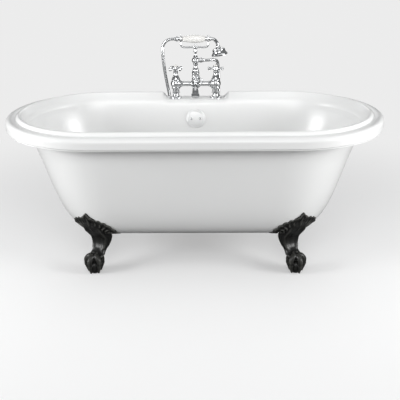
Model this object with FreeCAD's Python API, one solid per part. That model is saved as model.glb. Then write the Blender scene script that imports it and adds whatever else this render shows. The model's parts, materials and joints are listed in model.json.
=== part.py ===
import FreeCAD, Part
import math
import os

Vec = FreeCAD.Vector
os.makedirs("parts", exist_ok=True)

# Clawfoot bathtub with a deck mounted telephone mixer. Millimetres, floor at z = 0,
# long axis on X, the side with the taps at +Y, the bather's open side at -Y.

# Driving sizes
rim_half_long = 762.0
rim_half_wide = 381.0
roll_top = 614.0
acrylic = 6.0
skin_wall = 4.0
deck_drop = 19.0
deck_margin = 33.0
deck_ramp = 28.0
tap_spread = 178.0
tap_inset = 40.0
strip_thick = 9.0
foot_angle = 28.0
drain_y = 58.0
overflow_drop = 100.0
pipe_radius = 19.0
hose_diameter = 13.0

# Clearances
seat = 0.3
running = 0.06
bolt_play = 0.5

deck_z = roll_top - deck_drop
tap_y = rim_half_wide - tap_inset
tap_x = tap_spread / 2.0
deck_flat = tap_x + deck_margin
strip_high = deck_z - acrylic - seat
strip_low = strip_high - strip_thick

# Level under the roll, half length and half width of the outside skin
skin_table = [
    (-42.3, 680.0, 312.0), (-66.0, 667.0, 307.0), (-95.0, 655.0, 303.0), (-130.0, 641.0, 297.0),
    (-175.0, 626.0, 290.5), (-225.0, 610.0, 282.5), (-280.0, 592.0, 273.0), (-330.0, 574.0, 263.0),
    (-370.0, 557.0, 252.0), (-400.0, 541.0, 240.0), (-422.0, 524.0, 226.0), (-438.0, 504.0, 208.0),
    (-447.5, 481.0, 188.0), (-451.0, 457.0, 167.0)]

# The same for the inside of the basin
basin_table = [
    (16.0, 706.0, 325.0), (8.0, 699.5, 318.5), (0.0, 693.0, 312.0), (-14.0, 682.0, 302.0),
    (-34.0, 669.0, 293.0), (-60.0, 655.0, 287.0), (-90.0, 641.0, 282.0), (-130.0, 626.0, 276.0),
    (-180.0, 608.0, 268.0), (-235.0, 588.0, 259.0), (-290.0, 566.0, 248.0), (-335.0, 545.0, 235.0),
    (-370.0, 522.0, 219.0), (-395.0, 496.0, 199.0), (-411.0, 466.0, 174.0), (-420.0, 434.0, 146.0),
    (-424.0, 400.0, 117.0)]

rim_run = rim_half_long - rim_half_wide


def save(shape, name):
    shape.exportStep("parts/" + name + ".step")


def stadium(level, half_long, half_wide):
    run = half_long - half_wide
    right = Part.Arc(Vec(run, -half_wide, level), Vec(half_long, 0, level), Vec(run, half_wide, level))
    left = Part.Arc(Vec(-run, half_wide, level), Vec(-half_long, 0, level), Vec(-run, -half_wide, level))
    back = Part.makeLine(Vec(run, half_wide, level), Vec(-run, half_wide, level))
    front = Part.makeLine(Vec(-run, -half_wide, level), Vec(run, -half_wide, level))
    return Part.Wire([right.toShape(), back, left.toShape(), front])


def stadium_block(half_long, half_wide, low, high):
    return Part.Face(stadium(low, half_long, half_wide)).extrude(Vec(0, 0, high - low))


def scaled(table):
    wide_off = rim_half_wide - 381.0
    long_off = rim_half_long - 762.0
    return [(z, half_long + long_off, half_wide + wide_off) for z, half_long, half_wide in table]


def slope(table, index, column):
    before = table[max(index - 1, 0)]
    after = table[min(index + 1, len(table) - 1)]
    return (before[column] - after[column]) / (before[0] - after[0])


def offset_table(table, distance):
    # Moves every section along the wall's own normal; the last one goes straight down.
    result = []
    for index, row in enumerate(table):
        steep_wide = slope(table, index, 2)
        steep_long = slope(table, index, 1)
        down = distance * steep_wide / math.sqrt(1.0 + steep_wide ** 2)
        if index == len(table) - 1:
            down = distance
        wide = row[2] - steep_wide * down + distance * math.sqrt(1.0 + steep_wide ** 2)
        long = row[1] - steep_long * down + distance * math.sqrt(1.0 + steep_long ** 2)
        result.append((row[0] - down, long, wide))
    return result


def quarter_section(level, half_long, half_wide):
    # One quarter of a section, its round end a light cubic through six points of the arc.
    run = half_long - half_wide
    points = []
    for k in range(6):
        turn = math.pi / 2.0 * k / 5.0
        points.append(Vec(run + half_wide * math.cos(turn), half_wide * math.sin(turn), level))
    bend = Part.BSplineCurve()
    bend.interpolate(Points=points, InitialTangent=Vec(0, 1, 0), FinalTangent=Vec(-1, 0, 0))
    middle = Vec(0, 0, level)
    side = Vec(0, half_wide, level)
    lines = [Part.makeLine(points[-1], side), Part.makeLine(side, middle), Part.makeLine(middle, points[0])]
    return Part.Wire([bend.toShape()] + lines)


def hull(table):
    # A quarter of the body through its sections, mirrored twice, so that all four corners agree.
    wires = [quarter_section(roll_top + z, half_long, half_wide) for z, half_long, half_wide in table]
    quarter = Part.makeLoft(wires, True, False, False, 3)
    half = quarter.fuse(quarter.mirror(Vec(0, 0, 0), Vec(1, 0, 0)))
    return half.fuse(half.mirror(Vec(0, 0, 0), Vec(0, 1, 0))).removeSplitter()


def wall_half_width(table, depth):
    for upper, lower in zip(table, table[1:]):
        if upper[0] >= depth >= lower[0]:
            share = (upper[0] - depth) / (upper[0] - lower[0])
            return upper[2] + share * (lower[2] - upper[2])
    return table[-1][2]


def outline(start, steps):
    # A step of two numbers is a line, a step of four an arc through its first pair.
    edges = []
    here = start
    for step in steps:
        there = Vec(step[-2], 0, step[-1])
        if (there - here).Length < 1e-6:
            continue
        if len(step) == 2:
            edges.append(Part.makeLine(here, there))
        else:
            edges.append(Part.Arc(here, Vec(step[0], 0, step[1]), there).toShape())
        here = there
    if (here - start).Length > 1e-6:
        edges.append(Part.makeLine(here, start))
    return Part.Wire(edges)


def dome(radius, low, top):
    # Through point and end of an arc centred on the axis: a true cap of a ball.
    rise = top - low
    ball = (radius ** 2 + rise ** 2) / (2.0 * abs(rise))
    way = 1.0 if rise > 0 else -1.0
    half = math.asin(min(1.0, radius / ball)) / 2.0
    return (ball * math.sin(half), top - way * ball * (1.0 - math.cos(half)), 0, top)


def turned(start, steps):
    profile = Part.Face(outline(Vec(start[0], 0, start[1]), steps))
    return profile.revolve(Vec(0, 0, 0), Vec(0, 0, 1), 360)


def placed(shape, origin, axis):
    copy = shape.copy()
    turn = FreeCAD.Rotation(Vec(0, 0, 1), axis)
    copy.Placement = FreeCAD.Placement(origin, turn).multiply(shape.Placement)
    return copy


def rod(radius, start, end):
    along = end - start
    return Part.makeCylinder(radius, along.Length, start, along)


def tapered(points, radii):
    # A round bar of changing radius laid along a curve: one circle square to it at each point,
    # with every circle starting on the same side so that the skin doesn't twist.
    wires = []
    last = len(points) - 1
    side = None
    for index, point in enumerate(points):
        ahead = points[min(index + 1, last)] - points[max(index - 1, 0)]
        ahead.normalize()
        if side is None:
            guess = Vec(1, 0, 0) if abs(ahead.x) < 0.7 else Vec(0, 1, 0)
            side = guess - ahead * guess.dot(ahead)
        side = side - ahead * side.dot(ahead)
        side.normalize()
        frame = FreeCAD.Rotation(side, ahead.cross(side), ahead, "ZXY")
        ring = Part.Circle(Vec(0, 0, 0), Vec(0, 0, 1), radii[index]).toShape()
        ring.Placement = FreeCAD.Placement(point, frame)
        wires.append(Part.Wire([ring]))
    return Part.makeLoft(wires, True, False)


def oval(center, half_x, half_y):
    turn = 0.0
    if half_y > half_x:
        turn = 90.0
    ring = Part.Ellipse(Vec(0, 0, 0), max(half_x, half_y), min(half_x, half_y)).toShape()
    ring.rotate(Vec(0, 0, 0), Vec(0, 0, 1), turn)
    ring.translate(center)
    return Part.Wire([ring])


def joined(shapes):
    return shapes[0].fuse(shapes[1:]).removeSplitter()


def sweep_ring(steps):
    # A half section measured out from the middle, carried round the stadium of the rim.
    run = rim_run
    half = outline(Vec(0, 0, steps[0][-1]), steps[1:])
    face = Part.Face(half)
    end = face.revolve(Vec(0, 0, 0), Vec(0, 0, 1), 180)
    end.rotate(Vec(0, 0, 0), Vec(0, 0, 1), -90)
    right = end.copy()
    right.translate(Vec(run, 0, 0))
    left = end.copy()
    left.rotate(Vec(0, 0, 0), Vec(0, 0, 1), 180)
    left.translate(Vec(-run, 0, 0))
    flat = face.copy()
    flat.rotate(Vec(0, 0, 0), Vec(0, 0, 1), 90)
    flat.translate(Vec(-run, 0, 0))
    back = flat.extrude(Vec(2 * run, 0, 0))
    front = back.mirror(Vec(0, 0, 0), Vec(0, 1, 0))
    return joined([right, left, back, front])


def notch(level, half_flat, ramp, top):
    # The lowered landing for the taps, with an S shaped ramp up to the rim at each end.
    def ramp_edges(side):
        low = Vec(side * half_flat, 0, level)
        middle = Vec(side * (half_flat + ramp / 2.0), 0, (level + top) / 2.0)
        high = Vec(side * (half_flat + ramp), 0, top)
        curve = Part.BezierCurve()
        reach = ramp * 0.42 * side
        curve.setPoles([low, low + Vec(reach, 0, 0), middle, high - Vec(reach, 0, 0), high])
        return curve.toShape(), high
    right, right_top = ramp_edges(1)
    left, left_top = ramp_edges(-1)
    lift = Vec(0, 0, 40)
    edges = [
        Part.makeLine(Vec(-half_flat, 0, level), Vec(half_flat, 0, level)), right,
        Part.makeLine(right_top, right_top + lift),
        Part.makeLine(right_top + lift, left_top + lift),
        Part.makeLine(left_top + lift, left_top), left]
    face = Part.Face(Part.Wire(Part.__sortEdges__(edges)))
    face.translate(Vec(0, rim_half_wide * 0.66, 0))
    return face.extrude(Vec(0, rim_half_wide, 0))


# Basin shell with its rolled rim
basin_in = scaled(basin_table)
basin_out = offset_table(basin_in[1:], acrylic)
skin_out = scaled(skin_table)
cavity = hull(basin_in)
basin_body = hull(basin_out)
r = rim_half_wide
z0 = roll_top
rim_bottom = z0 - 42.0
rim_step = strip_low - 1.7
rim_solid = sweep_ring([
    (0, rim_bottom), (r - 3, rim_bottom), (r - 0.9, rim_bottom + 0.9, r, rim_bottom + 3), (r, z0 - 7),
    (r - 2.05, z0 - 2.05, r - 7, z0), (r - 24, z0 + 1.2, r - 40.5, z0 - 1.5),
    (r - 45.6, z0 + 1.9, r - 48, z0 + 7), (r - 52.5, z0 + 11.6, r - 59.5, z0 + 10.4), (0, z0 + 10.4)])
rim_hollow = sweep_ring([
    (0, z0 - 52), (r - 16, z0 - 52), (r - 16, rim_step), (r - acrylic, rim_step), (r - acrylic, z0 - 9),
    (r - 7.2, z0 - 6.6, r - 10, z0 - 6), (r - 24, z0 - 4.8, r - 40, z0 - 7.2), (r - 53, z0 + 1),
    (r - 56, z0 + 5.2), (0, z0 + 5.2)])
landing = notch(deck_z, deck_flat, deck_ramp, z0 + 14)
landing_under = notch(deck_z - acrylic, deck_flat + 4, deck_ramp, z0 + 8)
shell = joined([rim_solid, basin_body]).cut(cavity)
shell = shell.cut(landing)
shell = shell.cut(rim_hollow.cut(basin_body).cut(landing_under))
tap_points = [Vec(-tap_x, tap_y, 0), Vec(tap_x, tap_y, 0)]
shank_radius = 13.2
for point in tap_points:
    hole = Part.makeCylinder(shank_radius + 0.8, 60, Vec(point.x, point.y, deck_z - 30))
    shell = shell.cut(hole)

# Overflow axis: square to the back wall, pointing into the basin
overflow_z = z0 - overflow_drop
wall_y = wall_half_width(basin_in, -overflow_drop)
upper_y = wall_half_width(basin_in, -overflow_drop + 20)
lower_y = wall_half_width(basin_in, -overflow_drop - 20)
wall_tilt = math.atan2(upper_y - lower_y, 40.0)
overflow_axis = Vec(0, -math.cos(wall_tilt), math.sin(wall_tilt))
overflow_point = Vec(0, wall_y, overflow_z)
overflow_bore = 21.0
overflow_hole = rod(overflow_bore + 4.0, overflow_point + overflow_axis * 30, overflow_point - overflow_axis * 30)
shell = shell.cut(overflow_hole)
floor_z = z0 + basin_in[-1][0]
drain_bore = 26.0
shell = shell.cut(Part.makeCylinder(drain_bore, 60, Vec(0, drain_y, floor_z - 30)))
save(shell, "basin_shell")

# Outside skin with its bonding flange under the rim
skin_in = offset_table(skin_out, -skin_wall)
top_row = skin_in[0]
skin_in[0] = (top_row[0] + 2.0, top_row[1] + 0.8, top_row[2] + 0.6)
skin_top = z0 + skin_out[0][0]
skin_hull = hull(skin_out)
skin_void = hull(skin_in)
flange = stadium_block(rim_half_long - 4, rim_half_wide - 4, skin_top - skin_wall, skin_top)
skin = joined([skin_hull, flange]).cut(skin_void)
slot_front = skin_out[0][2] + 8.0
slot_back = rim_half_wide - 19.0
service = Part.makeBox(2 * deck_flat, slot_back - slot_front, 30, Vec(-deck_flat, slot_front, skin_top - 15))
skin = skin.cut(service)
body_bottom = z0 + skin_out[-1][0]
shoe_clear = 42.0
skin = skin.cut(Part.makeCylinder(shoe_clear, 40, Vec(0, drain_y, body_bottom - 20)))
skin = skin.cut(rod(27.0, overflow_point - overflow_axis * 8, overflow_point - overflow_axis * 60))

# Foot fixing points
edge_row = skin_out[-4]
foot_center = edge_row[1] - edge_row[2]
body_edge = edge_row[2]
bolt_reach = body_edge - 104.0
bolt_radius = 5.0


def round_corner(reach, across=0.0):
    # From the middle of the rounded end, out along the direction the front left foot faces.
    turn = math.radians(foot_angle)
    x = -foot_center - reach * math.sin(turn) + across * math.cos(turn)
    y = -reach * math.cos(turn) - across * math.sin(turn)
    return Vec(x, y, 0)


def four(point):
    return [Vec(sx * point.x, sy * point.y, point.z) for sx in (1, -1) for sy in (1, -1)]


bolt_spots = four(round_corner(bolt_reach))
for spot in bolt_spots:
    skin = skin.cut(Part.makeCylinder(bolt_radius + bolt_play, 30, Vec(spot.x, spot.y, body_bottom - 10)))
save(skin, "outer_skin")

# Plywood base between the two shells
board_low = body_bottom + skin_wall + seat
board_high = floor_z - acrylic - 2 * seat
board = stadium_block(rim_half_long - 317, rim_half_wide - 223, board_low, board_high)
board = board.cut(Part.makeCylinder(shoe_clear, 40, Vec(0, drain_y, board_low - 10)))
for spot in bolt_spots:
    board = board.cut(Part.makeCylinder(bolt_radius + seat, 14, Vec(spot.x, spot.y, board_low - 0.5)))
save(board, "base_board")

# Plywood strip stiffening the tap landing
strip = Part.makeBox(2 * deck_flat - 16, 66, strip_thick, Vec(-deck_flat + 8, rim_half_wide - 76, strip_low))
strip = strip.makeFillet(6.0, [e for e in strip.Edges if e.BoundBox.ZLength > 8])
for point in tap_points:
    strip = strip.cut(Part.makeCylinder(shank_radius + 0.8, 40, Vec(point.x, point.y, strip_low - 10)))
save(strip, "tap_deck_board")


# Claw and ball foot, front left, facing local -Y from the middle of the rounded end
def skirt_reach(across, level, stand):
    wide = wall_half_width(skin_out, level - z0) + stand
    return math.sqrt(max(wide ** 2 - across ** 2, 1.0))


def foot_point(across, reach, level):
    return Vec(across, -reach, level)


ball_radius = 27.0
ball_reach = body_edge + 15.0
ball_center = foot_point(0, ball_reach, 27.5)
# Level, middle beyond the body's lower edge, half width across and half depth of the leg
leg_rows = [
    (224, 17, 47, 12), (204, 9, 49, 20), (182, -8, 49.5, 27), (160, -36, 48.5, 33), (138, -56, 44, 33),
    (118, -55, 39.5, 29), (98, -44, 33, 26), (82, -31, 31, 27), (68, -13, 32, 29), (52, 2, 33, 28),
    (36, 6, 29, 23)]
leg = Part.makeLoft([oval(foot_point(0, body_edge + d, z), a, b) for z, d, a, b in leg_rows], True, False)
ball = Part.makeSphere(ball_radius, ball_center)


def talon(turn):
    # A knuckled toe gripping the ball, thinning to a claw near the floor.
    sine = math.sin(math.radians(turn))
    cosine = math.cos(math.radians(turn))
    rows = [
        (9, 70, 12), (20, 64, 13.5), (26, 54, 12), (28, 43, 11), (28, 33, 9.5), (26, 23, 8), (22.5, 13, 5.5),
        (18, 4.5, 2.6)]
    points = [ball_center + Vec(sine * out, -cosine * out, z - ball_center.z) for out, z, w in rows]
    return tapered(points, [w for out, z, w in rows])


foot_solids = [leg, ball] + [talon(72 * k) for k in range(5)]


def vein(tip_across, tip_level, root_across, root_level, thick):
    # A raised rib of the leaf, laid on the body's own curve from the leg to a lobe's tip.
    rows = []
    for step in range(6):
        share = step / 5.0
        bow = math.sin(math.pi * share) * 0.08 * abs(tip_across)
        level = root_level + (tip_level - root_level) * share + bow
        rows.append((root_across + (tip_across - root_across) * share, level))
    points = [foot_point(a, skirt_reach(a, z, 9.0), z) for a, z in rows]
    return tapered(points, [thick * (1.0 - 0.1 * step) for step in range(6)])


veins = [vein(0, 250, 0, 200, 6.5)]
for tip_across, tip_level, root_across, root_level in (
        (26, 234, 12, 194), (50, 226, 24, 188), (71, 218, 34, 182), (87, 203, 40, 176)):
    for side in (-1, 1):
        veins.append(vein(side * tip_across, tip_level, side * root_across, root_level, 5.6))

# Leaf shaped skirt hugging the body: an offset shell of the skin cut to a scalloped outline,
# whose lobes are arcs, each given by the point that it goes through and its end
leaf_tip = (76, 150)
lobes = [
    (92, 168, 97, 194), (96, 208, 86, 213), (82, 226, 70, 225), (62, 236, 48, 232), (38, 244, 25, 240),
    (12, 248, 0, 262)]
lobe_starts = [leaf_tip] + [lobe[2:] for lobe in lobes[:-1]]
other_lobes = [(-lobe[0], lobe[1], -begin[0], begin[1]) for lobe, begin in zip(lobes[::-1], lobe_starts[::-1])]
leaf = outline(Vec(leaf_tip[0], 0, leaf_tip[1]), lobes + other_lobes + [
    (-62, 138, -46, 140), (-30, 118), (30, 118), (46, 140), (62, 138, leaf_tip[0], leaf_tip[1])])
prism = Part.Face(leaf)
prism.translate(Vec(0, 66 - body_edge, 0))
prism = prism.extrude(Vec(0, -160, 0))
lug_high = body_bottom - seat - 0.1
lug_low = lug_high - 12.0
lug = Part.makeBox(64, 116, 12, Vec(-32, 8 - body_edge, lug_low))
inner_corners = [e for e in lug.Edges if e.BoundBox.ZLength > 10 and e.BoundBox.YMax > 80 - body_edge]
lug = lug.makeFillet(18.0, inner_corners)


def to_corner(shape):
    copy = shape.copy()
    copy.rotate(Vec(0, 0, 0), Vec(0, 0, 1), -foot_angle)
    copy.translate(Vec(-foot_center, 0, 0))
    return copy


hug_top = (60.0 + skin_out[0][0], skin_out[0][1] + 16, skin_out[0][2] + 16)
hug = hull([hug_top] + offset_table(skin_out, seat + 0.2))
band = hull(offset_table(skin_out[4:], 10.0)).common(to_corner(prism))
foot = joined([to_corner(s) for s in foot_solids + veins] + [band])
foot = foot.cut(hug)
foot = joined([foot, to_corner(lug)])
foot = foot.cut(Part.makeBox(900, 900, 40, Vec(-900, -900, -39)))
pad_radius = 15.0
pad_spot = round_corner(ball_reach)
foot = foot.cut(Part.makeCylinder(pad_radius + seat, 6, Vec(pad_spot.x, pad_spot.y, -1)))
spot = bolt_spots[0]
foot = foot.cut(Part.makeCylinder(bolt_radius + bolt_play, 40, Vec(spot.x, spot.y, lug_low - 10)))
foot = max(foot.Solids, key=lambda s: s.Volume)
other_foot = foot.mirror(Vec(0, 0, 0), Vec(1, 0, 0))
half_turn = FreeCAD.Placement(Vec(0, 0, 0), FreeCAD.Rotation(Vec(0, 0, 1), 180))
feet = {
    "claw_foot_front_left": foot,
    "claw_foot_front_right": other_foot,
    "claw_foot_rear_left": other_foot.transformGeometry(half_turn.toMatrix()),
    "claw_foot_rear_right": foot.transformGeometry(half_turn.toMatrix())}
for name, shape in feet.items():
    save(shape, name)

pads = []
bolts = []
washers = []
for spot in four(pad_spot):
    pads.append(Part.makeCylinder(pad_radius, 5 - seat, Vec(spot.x, spot.y, 0)))
for spot in bolt_spots:
    ring = Part.makeCylinder(10, 1.6, Vec(spot.x, spot.y, lug_low - seat - 1.6))
    washers.append(ring.cut(Part.makeCylinder(bolt_radius + seat, 10, Vec(spot.x, spot.y, lug_low - 6))))
    head_high = lug_low - 2 * seat - 1.6
    corners = [Vec(9.8 * math.cos(math.radians(60 * k)), 9.8 * math.sin(math.radians(60 * k)), 0) for k in range(7)]
    head = Part.Face(Part.makePolygon(corners)).extrude(Vec(0, 0, 6.4))
    head = head.common(Part.makeCone(8.6, 15, 6.4))
    head.translate(Vec(spot.x, spot.y, head_high - 6.4))
    shank = Part.makeCylinder(bolt_radius, board_low + 12 - head_high + 1, Vec(spot.x, spot.y, head_high - 1))
    bolts.append(joined([head, shank]))
save(Part.Compound(pads), "levelling_pads")
save(Part.Compound(bolts), "foot_bolts")
save(Part.Compound(washers), "foot_washers")
print("shells and feet done", [s.isValid() for s in (shell, skin, board, strip, foot)], len(foot.Solids))

# Waste and overflow kit
gasket = 3.0
floor_low = floor_z - acrylic
drain_spot = Vec(0, drain_y, 0)
drain_flange = turned((21.0, -34), [
    (24.5, -34), (24.5, seat), (35, seat), (35.6, 1.5, 33, 2.8), (28, 3.4), (25, 2.2), (21.0, -5)])
cross_bars = []
for turn in (0, 90):
    bar = Part.makeBox(43, 3, 5, Vec(-21.5, -1.5, -32))
    bar.rotate(Vec(0, 0, 0), Vec(0, 0, 1), turn)
    cross_bars.append(bar)
guide_bore = 3.2
hub = Part.makeCylinder(7.5, 11, Vec(0, 0, -32))
drain_flange = joined([drain_flange, hub] + cross_bars)
drain_flange = drain_flange.cut(Part.makeCylinder(guide_bore + running, 40, Vec(0, 0, -40)))
save(placed(drain_flange, drain_spot + Vec(0, 0, floor_z), Vec(0, 0, 1)), "drain_flange")

stopper_lift = 9.0
stopper = turned((0, -46), [
    (guide_bore, -46), (guide_bore, -18), (8, -15.5), (19.2, -8), (19.6, -5), (22.6, 1.6), (29.5, 4.2), (30.2, 5.3),
    (18, 8.6, 7, 9.6), (6.4, 13), (7.6, 17), dome(7.6, 17, 20.2)])
save(placed(stopper, drain_spot + Vec(0, 0, floor_z), Vec(0, 0, 1)), "drain_stopper")

shoe_ring_high = floor_low - seat
drain_gasket = turned((25.5, shoe_ring_high - gasket), [
    (38, shoe_ring_high - gasket), (38, shoe_ring_high), (25.5, shoe_ring_high)])
drain_gasket.translate(drain_spot)
save(drain_gasket, "drain_gasket")

shoe_high = shoe_ring_high - gasket - seat
socket_radius = pipe_radius + 4.0
nut_height = socket_radius + 8.0
pipe_z = body_bottom - nut_height - 3.0
shoe = turned((0, pipe_z - pipe_radius - 3), [
    (18, pipe_z - pipe_radius - 3), (23.5, pipe_z - pipe_radius + 0.5, 25, pipe_z - pipe_radius + 6),
    (25, pipe_z + 8), (29.5, pipe_z + 14), (29.5, shoe_high - 6), (37, shoe_high - 6), (37, shoe_high), (0, shoe_high)])
shoe.translate(drain_spot)
socket_length = 46.0
shoe_socket = rod(socket_radius, Vec(0, drain_y, pipe_z), Vec(0, drain_y + socket_length, pipe_z))
shoe = joined([shoe, shoe_socket])
shoe = shoe.cut(Part.makeCylinder(24.8, 60, Vec(0, drain_y, shoe_high - 34)))
shoe = shoe.cut(Part.makeCylinder(20.0, 60, Vec(0, drain_y, pipe_z - 14)))
shoe = shoe.cut(rod(pipe_radius - 2, Vec(0, drain_y, pipe_z), Vec(0, drain_y + 60, pipe_z)))
waste_start = drain_y + socket_length - 14
shoe = shoe.cut(rod(pipe_radius + seat, Vec(0, waste_start - seat, pipe_z), Vec(0, drain_y + 60, pipe_z)))
save(shoe, "drain_shoe")

riser_y = rim_half_wide - 36.0
tee_reach = pipe_radius + 17.0
waste_end = riser_y - tee_reach + 14
waste_pipe = rod(pipe_radius, Vec(0, waste_start, pipe_z), Vec(0, waste_end, pipe_z))
waste_pipe = waste_pipe.cut(rod(pipe_radius - 1.6, Vec(0, 0, pipe_z), Vec(0, riser_y, pipe_z)))
save(waste_pipe, "waste_pipe")

tee_arm = 34.0
tee_low = pipe_z - tee_arm
tee_top = pipe_z + tee_arm
tee = joined([
    rod(socket_radius, Vec(0, riser_y, tee_low), Vec(0, riser_y, tee_top)),
    rod(socket_radius - 0.5, Vec(0, riser_y - tee_reach, pipe_z), Vec(0, riser_y, pipe_z)),
    rod(socket_radius + 2, Vec(0, riser_y, tee_low), Vec(0, riser_y, tee_low + 5)),
    rod(socket_radius + 2, Vec(0, riser_y, tee_top - 5), Vec(0, riser_y, tee_top)),
    rod(socket_radius + 2, Vec(0, riser_y - tee_reach, pipe_z), Vec(0, riser_y - tee_reach + 5, pipe_z))])
tee = tee.cut(rod(pipe_radius - 2, Vec(0, riser_y, tee_low - 5), Vec(0, riser_y, tee_top + 5)))
tee = tee.cut(rod(pipe_radius - 3, Vec(0, riser_y - tee_reach - 5, pipe_z), Vec(0, riser_y, pipe_z)))
for start, end in (
        (Vec(0, riser_y, tee_top - 14 - seat), Vec(0, riser_y, tee_top + 5)),
        (Vec(0, riser_y, tee_low - 5), Vec(0, riser_y, tee_low + 14 + seat)),
        (Vec(0, riser_y - tee_reach - 5, pipe_z), Vec(0, waste_end + seat, pipe_z))):
    tee = tee.cut(rod(pipe_radius + seat, start, end))
save(tee, "waste_tee")

tail_low = 46.0
tail_bead = tail_low + 28.0
tailpiece = turned((0, tail_low), [
    (pipe_radius - 1, tail_low), (pipe_radius, tail_low + 1), (pipe_radius, tail_bead),
    (pipe_radius + 1.2, tail_bead + 1.5, pipe_radius, tail_bead + 3), (pipe_radius, tee_low + 14), (0, tee_low + 14)])
tailpiece.translate(Vec(0, riser_y, 0))
tailpiece = tailpiece.cut(rod(pipe_radius - 1.6, Vec(0, riser_y, 0), Vec(0, riser_y, 300)))
save(tailpiece, "waste_tailpiece")


def slip_nut(low):
    # Ribbed ring nut round a 38 mm pipe, standing on Z from its lower face.
    nut = turned((pipe_radius + seat, low), [
        (socket_radius + 2.5, low), (socket_radius + 4, low + 2), (socket_radius + 4, low + 12),
        (socket_radius + 2.5, low + 14), (pipe_radius + seat, low + 14)])
    for k in range(8):
        turn = math.radians(45 * k)
        rib = Part.makeBox(5, 6, 10, Vec(-2.5, nut_height - 6.1, low + 2))
        rib.rotate(Vec(0, 0, 0), Vec(0, 0, 1), math.degrees(turn))
        nut = nut.fuse(rib)
    return nut.removeSplitter()


slip_nuts = [
    placed(slip_nut(seat), Vec(0, riser_y, tee_top), Vec(0, 0, 1)),
    placed(slip_nut(-14 - seat), Vec(0, riser_y, tee_low), Vec(0, 0, 1)),
    placed(slip_nut(seat), Vec(0, riser_y - tee_reach, pipe_z), Vec(0, -1, 0)),
    placed(slip_nut(seat), Vec(0, drain_y + socket_length, pipe_z), Vec(0, 1, 0))]

# Overflow: plate inside, gasket and elbow outside, pipe down to the tee
plate_radius = 42.5
screw_gap = 19.0
plate = turned((0, seat), [
    (plate_radius, seat), (plate_radius, 2.4), (plate_radius - 2, 3.4), dome(plate_radius - 2, 3.4, 9.0)])
plate = plate.cut(turned((0, -1), [(plate_radius - 3, -1), (plate_radius - 4, 1.6), dome(plate_radius - 4, 1.6, 6.6)]))
for side in (-1, 1):
    plate = plate.cut(Part.makeCylinder(2.8, 20, Vec(side * screw_gap, 0, -2)))
intake = Part.makeBox(44, 12, 20, Vec(-22, plate_radius - 7, -1))
plate = plate.cut(intake)
save(placed(plate, overflow_point, overflow_axis), "overflow_plate")

back_face = -acrylic - 2 * seat
ring_bore = screw_gap + 3.2
ring = turned((ring_bore, back_face - gasket), [
    (34, back_face - gasket), (34, back_face), (ring_bore, back_face)])
save(placed(ring, overflow_point, overflow_axis), "overflow_gasket")

elbow_face = back_face - gasket - seat
elbow_start = overflow_point + overflow_axis * elbow_face
bend_point = Vec(0, riser_y, 0)
bend_point.z = elbow_start.z - (bend_point.y - elbow_start.y) * math.tan(wall_tilt)
elbow_low = bend_point.z - 44
leg_in = rod(pipe_radius + 3, elbow_start, bend_point)
leg_down = rod(pipe_radius + 3, bend_point, Vec(0, riser_y, elbow_low))
collar = rod(socket_radius + 2, Vec(0, riser_y, elbow_low), Vec(0, riser_y, elbow_low + 6))
knee = Part.makeSphere(pipe_radius + 3, bend_point)
mouth_flange = rod(33, elbow_start, elbow_start - overflow_axis * 4.5)
elbow = joined([leg_in, knee, leg_down, collar, mouth_flange])
bore_in = rod(pipe_radius - 2, elbow_start + overflow_axis * 20, bend_point)
bore_down = rod(pipe_radius - 2, bend_point, Vec(0, riser_y, elbow_low - 5))
elbow = elbow.cut(bore_in.fuse(bore_down).fuse(Part.makeSphere(pipe_radius - 2, bend_point)))
elbow = elbow.cut(rod(pipe_radius + seat, Vec(0, riser_y, elbow_low - 5), Vec(0, riser_y, elbow_low + 14)))
bridge = Part.makeBox(2 * screw_gap + 9, 8, 4.5, Vec(-screw_gap - 4.5, -4, elbow_face - 4.5))
bridge = bridge.cut(Part.makeCylinder(2.2 + seat, 10, Vec(screw_gap, 0, elbow_face - 8)))
bridge = bridge.cut(Part.makeCylinder(2.2 + seat, 10, Vec(-screw_gap, 0, elbow_face - 8)))
elbow = elbow.fuse(placed(bridge, overflow_point, overflow_axis)).removeSplitter()
for side in (-1, 1):
    tap_hole = placed(Part.makeCylinder(2.2 + seat, 12, Vec(side * screw_gap, 0, elbow_face - 9)),
                      overflow_point, overflow_axis)
    elbow = elbow.cut(tap_hole)
save(elbow, "overflow_elbow")
overflow_pipe = rod(pipe_radius, Vec(0, riser_y, tee_top - 14), Vec(0, riser_y, elbow_low + 13))
overflow_pipe = overflow_pipe.cut(rod(pipe_radius - 1.6, Vec(0, riser_y, 0), Vec(0, riser_y, z0)))
save(overflow_pipe, "overflow_pipe")
slip_nuts.append(placed(slip_nut(-14 - seat), Vec(0, riser_y, elbow_low), Vec(0, 0, 1)))
save(Part.Compound(slip_nuts), "waste_slip_nuts")

screws = []
for side in (-1, 1):
    screw = turned((0, elbow_face - 8), [(2.2, elbow_face - 8), (2.2, 9.0), (5, 9.0), dome(5, 9.0, 11.4)])
    screw = screw.cut(Part.makeBox(0.9, 14, 2, Vec(-0.45, -7, 10.6)))
    screw.translate(Vec(side * screw_gap, 0, 0))
    screws.append(placed(screw, overflow_point, overflow_axis))
save(Part.Compound(screws), "overflow_screws")

# Pillars with their threaded shanks, standing on the landing
shank_length = 84.0
tail_radius = 12.9
tail_grip = 22.0
bore = 9.0
pillar_top = 41.0
pillar = turned((bore, -shank_length), [
    (tail_radius - 1, -shank_length), (tail_radius, -shank_length + 1), (tail_radius, -shank_length + 1 + tail_grip),
    (shank_radius, -shank_length + 2 + tail_grip), (shank_radius, seat), (25, seat),
    (25, 2.4), (24.2, 3.8, 22.4, 4.4), (15.6, 7.4, 13.6, 15), (12.9, 19, 14.4, 22), (17.4, 23), (17.4, 26),
    (14.6, 27), (14.2, pillar_top), (bore, pillar_top)])
for name, point in zip(("pillar_left", "pillar_right"), tap_points):
    save(placed(pillar, Vec(point.x, point.y, deck_z), Vec(0, 0, 1)), name)

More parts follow.
